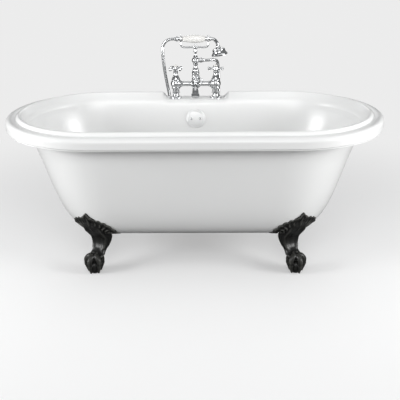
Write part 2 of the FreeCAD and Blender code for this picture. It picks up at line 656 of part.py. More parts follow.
strip_nuts = []
strip_rings = []
tail_nuts = []
for point in tap_points:
    washer_low = strip_low - seat - 2
    washer = Part.makeCylinder(21, 2, Vec(point.x, point.y, washer_low))
    strip_rings.append(washer.cut(Part.makeCylinder(shank_radius + seat, 20, Vec(point.x, point.y, washer_low - 5))))
    corners = [Vec(20.5 * math.cos(math.radians(60 * k)), 20.5 * math.sin(math.radians(60 * k)), 0) for k in range(7)]
    nut_low = washer_low - seat - 9
    nut = Part.Face(Part.makePolygon(corners)).extrude(Vec(0, 0, 9))
    nut = nut.common(Part.makeCone(25, 18.2, 9)).cut(Part.makeCylinder(shank_radius + seat, 20, Vec(0, 0, -5)))
    nut.translate(Vec(point.x, point.y, nut_low))
    strip_nuts.append(nut)
save(Part.Compound(strip_nuts), "tap_back_nuts")
save(Part.Compound(strip_rings), "tap_washers")

# Bridge of the mixer: two valve bodies, cross tube, middle body
bridge_z = 63.5
body_low = pillar_top + seat
valve_top = 82.0
valve = turned((0, body_low), [
    (17.5, body_low), (18.6, body_low + 1.2), (18.6, body_low + 6.5), (16.8, body_low + 8),
    (22.6, bridge_z - 1, 20.2, 74), (17.0, 77.4), (18.4, 79), (18.4, valve_top), (0, valve_top)])
half_bridge = turned((0, 0), [
    (17.5, 0), (17.5, 4), (18.6, 10, 14.4, 17), (11.2, 21, 10.9, 30), (10.9, tap_x - 41),
    (11.6, tap_x - 31, 14.2, tap_x - 23), (16.8, tap_x - 21), (16.8, tap_x - 16), (14, tap_x - 15), (14, tap_x - 9),
    (0, tap_x - 9)])
hub_body = turned((0, 44), [
    (7, 44), (9.4, 46), (9.6, 48), (19.8, 52, 20.6, bridge_z), (19.4, 73, 14, 77), (14, 80), (17.2, 81), (17.2, 84),
    (0, 84)])
mixer = joined([
    placed(valve, Vec(-tap_x, 0, 0), Vec(0, 0, 1)), placed(valve, Vec(tap_x, 0, 0), Vec(0, 0, 1)),
    placed(half_bridge, Vec(0, 0, bridge_z), Vec(1, 0, 0)), placed(half_bridge, Vec(0, 0, bridge_z), Vec(-1, 0, 0)),
    hub_body])
mixer = mixer.cut(rod(5.5, Vec(-tap_x, 0, bridge_z), Vec(tap_x, 0, bridge_z)))
for side in (-1, 1):
    mixer = mixer.cut(Part.makeCylinder(bore, 30, Vec(side * tap_x, 0, body_low - 1)))
mixer = joined([mixer, rod(16.5, Vec(0, 0, bridge_z), Vec(0, -23, bridge_z))])
mixer = mixer.cut(rod(9.6, Vec(0, -10, bridge_z), Vec(0, -30, bridge_z)))
tap_origin = Vec(0, tap_y, deck_z)
mixer.translate(tap_origin)
save(mixer, "mixer_body")

# Spout: a tapering tube arching forward and down over the basin
spout_rows = [
    (-23.3, 63.5, 14.2), (-27, 63.5, 13.4), (-35, 65.0, 12.4), (-47, 67.6, 12.0), (-62, 68.6, 12.0), (-78, 66.2, 12.2),
    (-92, 60.0, 12.6), (-102, 50.5, 13.2), (-107.5, 40.5, 14.2)]
spout = tapered([Vec(0, y, z) for y, z, w in spout_rows], [w for y, z, w in spout_rows])
inner = tapered([Vec(0, y, z) for y, z, w in spout_rows[2:]], [w - 3.6 for y, z, w in spout_rows[2:]])
tenon = rod(9.6 - seat, Vec(0, -12, bridge_z), Vec(0, -28, bridge_z))
lip_start = Vec(0, -107.5, 40.5)
lip_axis = Vec(0, -5.5, -10)
lip_axis.normalize()
lip = turned((0, -2), [(13.6, -2), (17.2, 1.0), (17.6, 4), (17.6, 13), (16.8, 14), (0, 14)])
spout = joined([spout, tenon, placed(lip, lip_start, lip_axis)]).cut(inner)
spout = spout.cut(rod(6.2, Vec(0, -5, bridge_z), Vec(0, -38, bridge_z)))
spout = spout.cut(placed(Part.makeCylinder(14.4, 16, Vec(0, 0, 1)), lip_start, lip_axis))
save(placed(spout, tap_origin, Vec(0, 0, 1)), "spout")
aerator = turned((0, 4), [(14.4 - seat, 4), (14.4 - seat, 12.6), (12, 13.4), (9, 12.2), (0, 12.2)])
for ring_radius, count in ((3.6, 6), (7.6, 12)):
    for k in range(count):
        turn = 2 * math.pi * k / count
        aerator = aerator.cut(Part.makeCylinder(0.8, 20, Vec(ring_radius * math.cos(turn), ring_radius * math.sin(turn), 0)))
save(placed(placed(aerator, lip_start, lip_axis), tap_origin, Vec(0, 0, 1)), "aerator")

# Bonnets and cross handles
spindle = 4.0
bonnet_low = valve_top + seat
bonnet_top = 116.0
bonnet = turned((spindle + running, bonnet_low), [
    (18.6, bonnet_low), (18.6, bonnet_low + 2.6), (17.2, bonnet_low + 4), (15.0, 92, 11.4, 100), (9.0, 106, 8.6, 110),
    (10.2, 111.4), (10.2, 113.6), (9.0, bonnet_top), (spindle + running, bonnet_top)])
handle_low = bonnet_top + seat
arm_z = 131.0
arm_length = 33.0


def arm(turn):
    profile = turned((0, 0), [
        (5.4, 0), (5.4, 9), (4.4, 12), (3.9, 18, 4.9, 23.5), (6.2, 24.4), (6.2, 26), (5.0, 26.8),
        (7.8, 30, 4.4, arm_length + 1), dome(4.4, arm_length + 1, arm_length + 2.6)])
    turn = math.radians(turn)
    return placed(profile, Vec(0, 0, arm_z), Vec(math.cos(turn), math.sin(turn), 0))


def cross_handle(turn):
    hub = turned((0, handle_low), [
        (9.4, handle_low), (9.8, handle_low + 2), (8.2, handle_low + 5), (8.6, 124, 12.6, 127), (13.2, arm_z),
        (12.6, 135, 11.6, 138), (12.4, 139), (12.4, 141.5), (11.2, 142.4), (0, 142.4)])
    solids = [hub, Part.makeCylinder(spindle, 26, Vec(0, 0, handle_low - 25))]
    for k in range(4):
        solids.append(arm(turn + 90 * k))
    whole = joined(solids)
    return whole.cut(Part.makeCylinder(9.6 + seat, 6, Vec(0, 0, 141.0)))


index_cap = turned((0, 141.0 + seat), [
    (9.6, 141.0 + seat), (9.6, 144.6), dome(9.6, 144.6, 149.7)])
for name, side, turn in (("left", -1, 38), ("right", 1, 0)):
    origin = Vec(side * tap_x, tap_y, deck_z)
    save(placed(bonnet, origin, Vec(0, 0, 1)), "bonnet_" + name)
    save(placed(cross_handle(turn), origin, Vec(0, 0, 1)), "cross_handle_" + name)
    save(placed(index_cap, origin, Vec(0, 0, 1)), "index_cap_" + name)

# Diverter column over the middle body, with a lever at the front
column_low = 84.0 + seat
lever_z = 112.0
lever_bore = 4.0
column = turned((0, column_low), [
    (17.4, column_low), (17.4, 87.4), (15.2, 89), (13.2, 93, 17.4, 96.5), (17.9, 98.4), (17.4, 100.2), (14.4, 102),
    (16.4, lever_z, 13.4, 122), (12.2, 126), (15.0, 127.6), (15.0, 130.4), (11.6, 132), (8.0, 138, 8.2, 146), (9.8, 148),
    (9.8, 151), (0, 151)])
boss = rod(10.5, Vec(0, 0, lever_z), Vec(0, -20, lever_z))
column = joined([column, boss]).cut(rod(lever_bore + running, Vec(0, -8, lever_z), Vec(0, -30, lever_z)))
save(placed(column, tap_origin, Vec(0, 0, 1)), "diverter_body")
lever_front = -20.0 - seat
lever_hub = rod(10.5, Vec(0, lever_front, lever_z), Vec(0, lever_front - 8, lever_z))
lever_hub = lever_hub.makeFillet(2.0, [e for e in lever_hub.Edges if e.BoundBox.YMax < lever_front - 7.9])
lever_pin = rod(lever_bore, Vec(0, -9, lever_z), Vec(0, lever_front - 1, lever_z))
lever_y = lever_front - 4.5
lever_rows = [(4, 3.4), (14, 3.0), (22, 2.8), (30, 3.4), (36, 5.0), (40, 5.2), (43.5, 3.4)]
lean = math.radians(45)
lever_arm = tapered(
    [Vec(math.sin(lean) * d, lever_y, lever_z - math.cos(lean) * d) for d, w in lever_rows],
    [w for d, w in lever_rows])
lever = joined([lever_hub, lever_pin, lever_arm])
save(placed(lever, tap_origin, Vec(0, 0, 1)), "diverter_lever")

# Ball elbow feeding the hose, and the post of the cradle above it
elbow_z = 168.0
ball_low = 151.0 + seat
ball_elbow = turned((0, ball_low), [
    (10.4, ball_low), (10.4, ball_low + 2.6), (8.6, ball_low + 3.8), (16.4, elbow_z, 8.2, elbow_z + 12.6),
    (9.6, elbow_z + 13.6), (9.6, elbow_z + 16), (0, elbow_z + 16)])
outlet = placed(turned((0, 0), [(9.8, 0), (9.8, 15.8), (8.2, 17.6), (8.2, 20), (0, 20)]), Vec(0, 0, elbow_z), Vec(1, 0, 0))
ball_elbow = joined([ball_elbow, outlet]).cut(rod(4.6, Vec(0, 0, elbow_z), Vec(25, 0, elbow_z)))
save(placed(ball_elbow, tap_origin, Vec(0, 0, 1)), "outlet_elbow")
nut_end = 38.5


def hose_nut(length):
    nut = turned((4.6, 0), [
        (9.6, 0), (10.2, 0.8), (10.2, 6.4), (9.4, 7.2), (8.9, 9), (7.6, length - 1.2), (7.0, length), (4.6, length)])
    for k in range(6):
        rib = Part.makeBox(2.2, 3, 5.2, Vec(-1.1, 8.6, 1.1))
        rib.rotate(Vec(0, 0, 0), Vec(0, 0, 1), 60 * k)
        nut = nut.fuse(rib)
    return nut.removeSplitter()


nut_origin = tap_origin + Vec(20 + seat, 0, elbow_z)
save(placed(hose_nut(nut_end - 20 - seat), nut_origin, Vec(1, 0, 0)), "hose_nut_mixer")

post_low = elbow_z + 16 + seat
cradle_z = 225.5
post = turned((0, post_low), [
    (9.4, post_low), (9.4, post_low + 2), (5.6, 190, 5.2, 198), (5.4, 203), (8.8, 205.4), (9.4, 207.4),
    (8.8, 209.4), (5.4, 211.6), (5.2, 214), (7.8, 217), (7.8, 219.2), (0, 219.2)])
save(placed(post, tap_origin, Vec(0, 0, 1)), "cradle_post")

fork_left = -64.0
fork_right = 57.0
handset_z = 261.5
fork_wire = 2.9
fork_rise = 11.0
neck_grip = 8.2
fork_bow = neck_grip + seat + fork_wire
fork_low = handset_z - fork_bow


def fork(x):
    # A U of wire under the neck of the handset, open above, each end closed by a small ball.
    turns = [math.radians(180 + 15 * k) for k in range(13)]
    bow = [Vec(x, fork_bow * math.cos(t), handset_z + fork_bow * math.sin(t)) for t in turns]
    top = handset_z + fork_rise
    spread = fork_bow + 0.7
    points = [Vec(x, -spread, top)] + bow + [Vec(x, spread, top)]
    widths = [2.2] + [fork_wire] * len(bow) + [2.2]
    balls = [Part.makeSphere(3.4, Vec(x, side * spread, top)) for side in (-1, 1)]
    return [tapered(points, widths)] + balls


def cradle_arm(x):
    # Points of one arm: straight down from its fork, round a tight corner and level to the post.
    way = math.copysign(1.0, x)
    corner_radius = 13.0
    turns = [math.radians(90 - 15 * k) for k in range(7)]
    corner = [Vec(x - way * corner_radius * (1 - math.sin(t)), 0, cradle_z + corner_radius * (1 - math.cos(t)))
              for t in turns]
    return [Vec(x, 0, fork_low + 0.5)] + corner + [Vec(0.4 * x, 0, cradle_z)]


arm_radii = [2.5, 3.5, 3.6, 3.7, 3.8, 3.9, 4.0, 4.0, 4.3]
cradle_bar = tapered(cradle_arm(fork_left) + cradle_arm(fork_right)[::-1], arm_radii + arm_radii[::-1])
cradle_hub = turned((0, 219.2 + seat), [
    (7.8, 219.2 + seat), (8.4, 221.5), (8.8, 226), (6.4, 230.4, 3.0, 231.4), (2.4, 233.0), (0, 233.0)])
finial = Part.makeSphere(3.6, Vec(0, 0, 234.6))
cradle = joined([cradle_hub, finial, cradle_bar] + fork(fork_left) + fork(fork_right))
save(placed(cradle, tap_origin, Vec(0, 0, 1)), "cradle")

# Handset lying in the cradle along X
handle_start = -57.5
handle_end = 44.5
ferrule_end = -77.0
nut_reach = -92.0
axis_x = Vec(1, 0, 0)
handset_origin = tap_origin + Vec(0, 0, handset_z)
grip = turned((2.2, handle_start), [
    (9.2, handle_start), (10.4, -56), (13.4, -40, 16.4, -20), (17.3, -6, 16.6, 10), (14.6, 28, 10.2, 42),
    (9.0, handle_end), (2.2, handle_end)])
save(placed(grip, handset_origin, axis_x), "handset_grip")
ferrule = turned((0, ferrule_end), [
    (8.8, ferrule_end), (8.8, -74.6), (7.0, -73.6), (7.0, -71.4), (neck_grip, -70), (neck_grip, -59.6),
    (11.0, -58.8), (11.0, handle_start - seat), (0, handle_start - seat)])
save(placed(ferrule, handset_origin, axis_x), "handset_ferrule")
handset_nut = placed(hose_nut(-nut_reach + ferrule_end - seat), handset_origin + Vec(ferrule_end - seat, 0, 0), -axis_x)
save(handset_nut, "hose_nut_handset")

rose_top = Vec(98.6, 0, -29.5)
rose_axis = Vec(0.2, 0, -0.98)
rose_axis.normalize()
collar_low = handle_end + seat
neck_collar = placed(turned((0, collar_low), [
    (10.8, collar_low), (10.8, collar_low + 1.4), (neck_grip, collar_low + 2.6), (neck_grip, 62), (9.8, 63.4),
    (9.8, 66), (7.6, 67.2), (0, 67.2)]), Vec(0, 0, 0), axis_x)
bend = tapered(
    [Vec(64, 0, 0), Vec(72, 0, 0), Vec(80, 0, -2.0), Vec(87.4, 0, -7.0), Vec(92.4, 0, -13.4),
     rose_top - rose_axis * 8.0, rose_top - rose_axis * 2.0, rose_top + rose_axis], [7.2, 7.0, 6.8, 6.8, 6.8, 6.9, 7.1, 7.4])
neck = joined([neck_collar, bend]).cut(Part.makeCylinder(6.0, 3, Vec(0, 0, 0)))
save(placed(neck, handset_origin, Vec(0, 0, 1)), "handset_neck")
rose_depth = 43.5
rose = turned((0, 1.3), [
    (8.8, 1.3), (9.4, 3), (8.6, 5.4), (12, 9.6, 22.4, 13.4), (26.2, 15.4, 27.0, 19.4), (28.2, 21.4), (27.2, 23.4),
    (29.6, 30, 34.2, 36.2), (35.5, 38), (35.5, 41.4), (34.6, 42.2), (32.6, 42.2), (32.6, 37), (25, 25, 10, 18),
    (0, 18)])
save(placed(placed(rose, rose_top, rose_axis), handset_origin, Vec(0, 0, 1)), "handset_rose")
face_plate = turned((0, 37.6), [
    (32.6 - seat, 37.6), (32.6 - seat, 41.4), dome(32.6 - seat, 41.4, 44.0)])
for ring_radius, count in ((7.0, 6), (14.0, 12), (21.0, 18)):
    holes = []
    for k in range(count):
        turn = 2 * math.pi * k / count
        holes.append(Part.makeCylinder(0.9, 20, Vec(ring_radius * math.cos(turn), ring_radius * math.sin(turn), 30)))
    face_plate = face_plate.cut(Part.Compound(holes))
save(placed(placed(face_plate, rose_top, rose_axis), handset_origin, Vec(0, 0, 1)), "handset_face")

# Shower hose: from the ball elbow over the back edge, a hanging loop, and up to the handset
hose_points = [
    Vec(38.8, 341, 763), Vec(61, 341, 763), Vec(80, 351.5, 763.5), Vec(92.5, 367, 758), Vec(98.5, 382, 744.5),
    Vec(101, 392.5, 724), Vec(102.5, 398.5, 694), Vec(103, 400, 650), Vec(102.5, 399, 603), Vec(102, 400, 554),
    Vec(100, 402, 500), Vec(97, 401, 444), Vec(93, 400, 388), Vec(87, 401, 333), Vec(79, 402, 280),
    Vec(68, 402, 230), Vec(50, 402, 187), Vec(21, 402, 162), Vec(-14, 402, 160), Vec(-46, 402, 178),
    Vec(-68, 402, 214), Vec(-83, 402, 260), Vec(-95, 401, 312), Vec(-104, 400, 368), Vec(-110.5, 400, 426),
    Vec(-114.5, 401, 484), Vec(-117.5, 402, 541), Vec(-122, 399, 594), Vec(-129.5, 387.5, 640), Vec(-136, 373, 685),
    Vec(-140.5, 358.5, 728), Vec(-143.8, 347, 769), Vec(-145, 341.6, 802.8), Vec(-144.7, 341, 822.8),
    Vec(-136.9, 341, 839.5), Vec(-123.1, 341, 851.4), Vec(-106, 341, 856.5), Vec(-92, 341, 856.5)]
hose_points[0] = Vec(nut_end + seat, tap_y, deck_z + elbow_z)
hose_points[1] = Vec(nut_end + 22.5, tap_y, deck_z + elbow_z)
hose_points[-2] = Vec(nut_reach - seat - 14, tap_y, deck_z + handset_z)
hose_points[-1] = Vec(nut_reach - seat, tap_y, deck_z + handset_z)


def hose_path(points):
    edges = []
    radii = []
    here = points[0]
    for before, corner, after in zip(points, points[1:], points[2:]):
        into = corner - before
        out = after - corner
        turn = into.getAngle(out)
        radius = 0.45 * min(into.Length, out.Length) / math.tan(turn / 2.0)
        reach = 0.45 * min(into.Length, out.Length)
        into.normalize()
        out.normalize()
        start = corner - into * reach
        end = corner + out * reach
        towards = out - into
        towards.normalize()
        middle = corner + towards * (radius / math.cos(turn / 2.0) - radius)
        edges.append(Part.LineSegment(here, start).toShape())
        edges.append(Part.Arc(start, middle, end).toShape())
        radii.append(radius)
        here = end
    edges.append(Part.LineSegment(here, points[-1]).toShape())
    return Part.Wire(edges), radii


path, hose_radii = hose_path(hose_points)
first = hose_points[1] - hose_points[0]
ring = Part.Wire([Part.makeCircle(hose_diameter / 2.0, hose_points[0], first)])
hose = path.makePipeShell([ring], True, False)
print("hose length", round(path.Length), "radii", [round(v) for v in hose_radii])
print("hose volume", hose.Volume / (math.pi * hose_diameter ** 2 / 4.0 * path.Length), hose.isValid())
save(hose, "hose")
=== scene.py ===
import json
import math
import bmesh
import bpy
import numpy as np
from mathutils import Matrix, Vector


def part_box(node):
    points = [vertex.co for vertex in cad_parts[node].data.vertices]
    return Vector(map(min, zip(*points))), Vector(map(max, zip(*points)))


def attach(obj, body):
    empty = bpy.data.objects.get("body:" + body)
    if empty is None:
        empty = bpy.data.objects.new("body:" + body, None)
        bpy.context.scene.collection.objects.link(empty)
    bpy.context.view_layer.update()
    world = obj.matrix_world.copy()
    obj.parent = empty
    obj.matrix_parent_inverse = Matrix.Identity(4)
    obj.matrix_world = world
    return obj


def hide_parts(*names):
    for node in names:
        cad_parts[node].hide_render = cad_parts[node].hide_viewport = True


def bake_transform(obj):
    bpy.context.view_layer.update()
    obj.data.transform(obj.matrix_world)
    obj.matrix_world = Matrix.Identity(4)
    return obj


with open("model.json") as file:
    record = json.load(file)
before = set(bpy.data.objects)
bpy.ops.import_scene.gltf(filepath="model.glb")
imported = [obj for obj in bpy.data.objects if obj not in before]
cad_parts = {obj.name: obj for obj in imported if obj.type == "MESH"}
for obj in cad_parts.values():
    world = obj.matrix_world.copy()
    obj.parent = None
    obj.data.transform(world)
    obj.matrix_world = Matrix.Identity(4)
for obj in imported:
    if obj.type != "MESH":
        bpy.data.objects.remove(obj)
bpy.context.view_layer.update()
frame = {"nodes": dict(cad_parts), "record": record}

scene = bpy.context.scene
mm = 0.001
weldWithin = 2e-6  # metres between points that count as one
print("frame loaded")

# Camera of the photograph
view = {
    "place": (0.0634, -2.9036, 1.3656), "towards": (-0.0141, 0.9314, -0.3638), "lens": 65.9, "roll": -0.51,
    "farthest": 60}
towards = Vector(view["towards"]).normalized()
level = towards.cross(Vector((0, 0, 1))).normalized()
upright = level.cross(towards)
roll = math.radians(view["roll"])
across = level * math.cos(roll) + upright * math.sin(roll)
upright = upright * math.cos(roll) - level * math.sin(roll)
turned = Matrix((across, upright, -towards)).transposed().to_4x4()
cameraData = bpy.data.cameras.new("camera")
cameraData.lens = view["lens"]
cameraData.clip_end = view["farthest"]
camera = bpy.data.objects.new("camera", cameraData)
scene.collection.objects.link(camera)
camera.matrix_world = Matrix.Translation(Vector(view["place"])) @ turned
scene.camera = camera


# Mesh helpers
def weave(rows, cols, wrapRows, wrapCols):
    # quads between neighbouring points of a grid, going round where it wraps
    index = np.arange(rows * cols).reshape(rows, cols)
    if wrapRows:
        index = np.vstack([index, index[:1]])
    if wrapCols:
        index = np.hstack([index, index[:, :1]])
    corners = [index[:-1, :-1], index[1:, :-1], index[1:, 1:], index[:-1, 1:]]
    return np.stack(corners, axis=-1).reshape(-1, 4)


def makePiece(name, sheets, material, body, sharp=40.0):
    points, faces, first = [], [], 0
    for grid, wrapRows, wrapCols in sheets:
        rows, cols = grid.shape[:2]
        points.append(grid.reshape(-1, 3))
        faces.append(weave(rows, cols, wrapRows, wrapCols) + first)
        first += rows * cols
    points, faces = np.vstack(points), np.vstack(faces)
    mesh = bpy.data.meshes.new(name)
    mesh.vertices.add(len(points))
    mesh.vertices.foreach_set("co", points.astype(np.float32).ravel())
    mesh.loops.add(faces.size)
    mesh.loops.foreach_set("vertex_index", faces.astype(np.int32).ravel())
    mesh.polygons.add(len(faces))
    mesh.polygons.foreach_set("loop_start", np.arange(0, faces.size, 4, dtype=np.int32))
    mesh.update(calc_edges=True)
    mesh.validate()
    piece = bpy.data.objects.new(name, mesh)
    scene.collection.objects.link(piece)
    weldPiece(piece, sharp)
    mesh.materials.append(material)
    if body:
        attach(piece, body)
    return piece


def weldPiece(piece, sharp):
    # merges doubled points, makes the faces agree on their sides and shades smooth up to the sharp angle
    work = bmesh.new()
    work.from_mesh(piece.data)
    bmesh.ops.remove_doubles(work, verts=work.verts, dist=weldWithin)
    bmesh.ops.recalc_face_normals(work, faces=work.faces)
    work.to_mesh(piece.data)
    work.free()
    piece.data.polygons.foreach_set("use_smooth", np.ones(len(piece.data.polygons), dtype=bool))
    piece.data.set_sharp_from_angle(angle=math.radians(sharp))


def meshPoints(mesh):
    points = np.zeros(len(mesh.vertices) * 3)
    mesh.vertices.foreach_get("co", points)
    return points.reshape(-1, 3)


def neighbourMean(mesh, values):
    # for each point the mean of the values at the points that it shares an edge with
    ends = np.zeros(len(mesh.edges) * 2, dtype=np.int64)
    mesh.edges.foreach_get("vertices", ends)
    ends = ends.reshape(-1, 2)
    here, there = np.concatenate([ends, ends[:, ::-1]]).T
    total = np.stack([np.bincount(here, column[there], len(values)) for column in values.T], axis=1)
    return total / np.maximum(np.bincount(here, minlength=len(values)), 1)[:, None]


def chordLength(points):
    return np.concatenate([[0.0], np.cumsum(np.linalg.norm(np.diff(points, axis=0), axis=1))])


def evenly(points, count):
    # the same polyline with its points spread evenly along it
    at = chordLength(points)
    want = np.linspace(0, at[-1], count)
    return np.stack([np.interp(want, at, points[:, k]) for k in range(points.shape[1])], axis=1)


def throughPoints(points, count, finer=4):
    # a smooth curve through given points: cubic Hermite spans whose slopes are the mean of
    # the two chords beside each point, each chord weighted by the other one's length; it is worked
    # out at a few times as many points as are kept
    points = np.asarray(points, dtype=float)
    at = chordLength(points)
    step = np.diff(at)[:, None]
    chord = np.diff(points, axis=0) / step
    inner = (chord[:-1] * step[1:] + chord[1:] * step[:-1]) / (step[1:] + step[:-1])
    slope = np.vstack([chord[:1], inner, chord[-1:]])
    fine = np.linspace(0, at[-1], count * finer)
    span = np.clip(np.searchsorted(at, fine, side="right") - 1, 0, len(points) - 2)
    t = ((fine - at[span]) / step[span, 0])[:, None]
    curve = ((2 * t**3 - 3 * t**2 + 1) * points[span] + (t**3 - 2 * t**2 + t) * step[span] * slope[span]
             + (3 * t**2 - 2 * t**3) * points[span + 1] + (t**3 - t**2) * step[span] * slope[span + 1])
    return evenly(curve, count)


def ramp(value, start, end):
    # 0 up to the start and 1 from the end on, straight between them
    return np.clip((value - start) / (end - start), 0, 1)


def bell(value, middle, width):
    # 1 at the middle, falling off as e to the minus ((value - middle) / width) squared
    return np.exp(-(((value - middle) / width) ** 2))


def tubeAlong(path, radii, around, reference=(0, 1, 0)):
    # rings square to the path: path + radius * (cos * side + sin * lift), where the side is square to
    # the path and the reference, and the lift is square to the side and the path
    ahead = np.gradient(path, axis=0)
    ahead /= np.linalg.norm(ahead, axis=1, keepdims=True)
    side = np.cross(ahead, np.asarray(reference, dtype=float))
    side /= np.linalg.norm(side, axis=1, keepdims=True)
    lift = np.cross(side, ahead)
    angle = np.linspace(0, 2 * math.pi, around, endpoint=False)
    radii = np.broadcast_to(np.asarray(radii, dtype=float).reshape(len(path), -1), (len(path), around))
    return (path[:, None] + radii[:, :, None] * (np.cos(angle)[None, :, None] * side[:, None]
                                                 + np.sin(angle)[None, :, None] * lift[:, None]))


def closedTube(grid, start=None, end=None):
    # the rings with both ends drawn together, to the given points or to the middle of the end rings
    start = grid[0].mean(axis=0) if start is None else start
    end = grid[-1].mean(axis=0) if end is None else end
    around = grid.shape[1]
    return np.concatenate([np.tile(start, (1, around, 1)), grid, np.tile(end, (1, around, 1))])


def sphereGrid(rows, cols):
    # (cos a * cos b, cos a * sin b, sin a), with a from pole to pole and b round
    a, b = np.meshgrid(np.linspace(-math.pi / 2, math.pi / 2, rows),
                       np.linspace(0, 2 * math.pi, cols, endpoint=False), indexing="ij")
    return np.stack([np.cos(a) * np.cos(b), np.cos(a) * np.sin(b), np.sin(a)], axis=-1)


# Materials
def newMaterial(name, **values):
    made = bpy.data.materials.new(name)
    made.use_nodes = True
    shader = made.node_tree.nodes["Principled BSDF"]
    for socket, value in values.items():
        shader.inputs[socket.replace("_", " ")].default_value = value
    return made, made.node_tree, shader


def addNode(tree, kind, **settings):
    # a setting is a property of the node, or else one of its inputs
    node = tree.nodes.new(kind)
    for key, value in settings.items():
        if hasattr(node, key):
            setattr(node, key, value)
        else:
            node.inputs[key].default_value = value
    return node


def colourMix(tree, low, high):
    # a mix of two colours: its factor, its two colour inputs and its colour output
    node = addNode(tree, "ShaderNodeMix", data_type="RGBA")
    ends = [socket for socket in node.inputs if socket.type == "RGBA"]
    for socket, colour in zip(ends, (low, high)):
        socket.default_value = (*colour, 1)
    return node.inputs["Factor"], ends, next(socket for socket in node.outputs if socket.type == "RGBA")


def mottleGroup():
    # noise at two sizes: a mask for colour and roughness, and a height for bump
    tree = bpy.data.node_groups.new("mottle", "ShaderNodeTree")
    tree.interface.new_socket("Vector", in_out="INPUT", socket_type="NodeSocketVector")
    for name in ("Coarse", "Fine"):
        tree.interface.new_socket(name, in_out="INPUT", socket_type="NodeSocketFloat")
    for name in ("Mask", "Height"):
        tree.interface.new_socket(name, in_out="OUTPUT", socket_type="NodeSocketFloat")
    given = tree.nodes.new("NodeGroupInput")
    result = tree.nodes.new("NodeGroupOutput")
    coarse = addNode(tree, "ShaderNodeTexNoise", Detail=4.0, Roughness=0.6)
    fine = addNode(tree, "ShaderNodeTexNoise", Detail=2.0, Roughness=0.5)
    for noise, key in ((coarse, "Coarse"), (fine, "Fine")):
        tree.links.new(given.outputs["Vector"], noise.inputs["Vector"])
        tree.links.new(given.outputs[key], noise.inputs["Scale"])
    tree.links.new(coarse.outputs["Fac"], result.inputs["Mask"])
    tree.links.new(fine.outputs["Fac"], result.inputs["Height"])
    return tree


mottle = mottleGroup()


def finishedMaterial(name, colours, rough, grain, bump, **values):
    # colour and roughness run between two values by the coarse noise, and the fine one gives the bump;
    # grain is the scale of both noises, and bump is its strength and its depth in metres
    made, tree, shader = newMaterial(name, **values)
    place = addNode(tree, "ShaderNodeTexCoord")
    group = addNode(tree, "ShaderNodeGroup", node_tree=mottle)
    group.inputs["Coarse"].default_value, group.inputs["Fine"].default_value = grain
    tree.links.new(place.outputs["Object"], group.inputs["Vector"])
    factor, _, mixed = colourMix(tree, *colours)
    tree.links.new(group.outputs["Mask"], factor)
    tree.links.new(mixed, shader.inputs["Base Color"])
    spread = addNode(tree, "ShaderNodeMapRange")
    spread.inputs["To Min"].default_value, spread.inputs["To Max"].default_value = rough
    tree.links.new(group.outputs["Mask"], spread.inputs["Value"])
    tree.links.new(spread.outputs["Result"], shader.inputs["Roughness"])
    relief = addNode(tree, "ShaderNodeBump", Strength=bump[0], Distance=bump[1])
    tree.links.new(group.outputs["Height"], relief.inputs["Height"])
    tree.links.new(relief.outputs["Normal"], shader.inputs["Normal"])
    return made


def paintedRidgeHighlight(material, attribute, colour, start):
    # painted highlight: where the mesh's own ridge mark passes the start, the colour runs towards a lighter
    # one that stands for light caught on the proud edges
    tree = material.node_tree
    shader = tree.nodes["Principled BSDF"]
    plain = shader.inputs["Base Color"].links[0].from_socket
    mark = addNode(tree, "ShaderNodeAttribute", attribute_name=attribute)
    share = addNode(tree, "ShaderNodeMapRange", interpolation_type="SMOOTHSTEP")
    share.inputs["From Min"].default_value = start
    tree.links.new(mark.outputs["Fac"], share.inputs["Value"])
    factor, ends, mixed = colourMix(tree, colour, colour)
    tree.links.new(plain, ends[0])
    tree.links.new(share.outputs["Result"], factor)
    tree.links.new(mixed, shader.inputs["Base Color"])


acrylic = finishedMaterial(
    "whiteAcrylic", colours=((0.80, 0.805, 0.80), (0.83, 0.832, 0.828)), rough=(0.28, 0.34),
    grain=(3.0, 220.0), bump=(0.03, 0.0002), Coat_Weight=0.3, Coat_Roughness=0.22)
chrome = finishedMaterial(
    "chromePlate", colours=((0.66, 0.67, 0.68), (0.72, 0.725, 0.73)), rough=(0.06, 0.11),
    grain=(30.0, 400.0), bump=(0.03, 0.0001), Metallic=1.0)
satinChrome = finishedMaterial(
    "satinChrome", colours=((0.88, 0.885, 0.885), (0.92, 0.925, 0.925)), rough=(0.42, 0.5),
    grain=(30.0, 400.0), bump=(0.03, 0.0001), Metallic=0.6)
castIron = finishedMaterial(
    "blackCastIron", colours=((0.004, 0.004, 0.004), (0.009, 0.009, 0.008)), rough=(0.30, 0.42),
    grain=(30.0, 900.0), bump=(0.2, 0.0003), Specular_IOR_Level=0.32)
# the cast iron's ridges get a painted highlight, a lighter colour on the proud edges
paintedRidgeHighlight(castIron, "ridge", colour=(0.055, 0.055, 0.050), start=0.55)
porcelain = finishedMaterial(
    "porcelainGlaze", colours=((0.80, 0.79, 0.765), (0.84, 0.83, 0.805)), rough=(0.08, 0.14),
    grain=(20.0, 300.0), bump=(0.03, 0.0001), Coat_Weight=0.8, Coat_Roughness=0.03)
brass = finishedMaterial(
    "rawBrass", colours=((0.60, 0.42, 0.17), (0.72, 0.53, 0.24)), rough=(0.22, 0.38),
    grain=(40.0, 900.0), bump=(0.15, 0.0002), Metallic=1.0)
zinc = finishedMaterial(
    "zincPlate", colours=((0.52, 0.53, 0.54), (0.64, 0.65, 0.66)), rough=(0.28, 0.42),
    grain=(60.0, 900.0), bump=(0.15, 0.0002), Metallic=1.0)
rubber = finishedMaterial(
    "blackRubber", colours=((0.018, 0.018, 0.018), (0.035, 0.035, 0.035)), rough=(0.6, 0.75),
    grain=(60.0, 900.0), bump=(0.2, 0.0002))
plywood = finishedMaterial(
    "sealedPlywood", colours=((0.42, 0.29, 0.17), (0.58, 0.42, 0.26)), rough=(0.5, 0.7),
    grain=(12.0, 400.0), bump=(0.3, 0.0003))
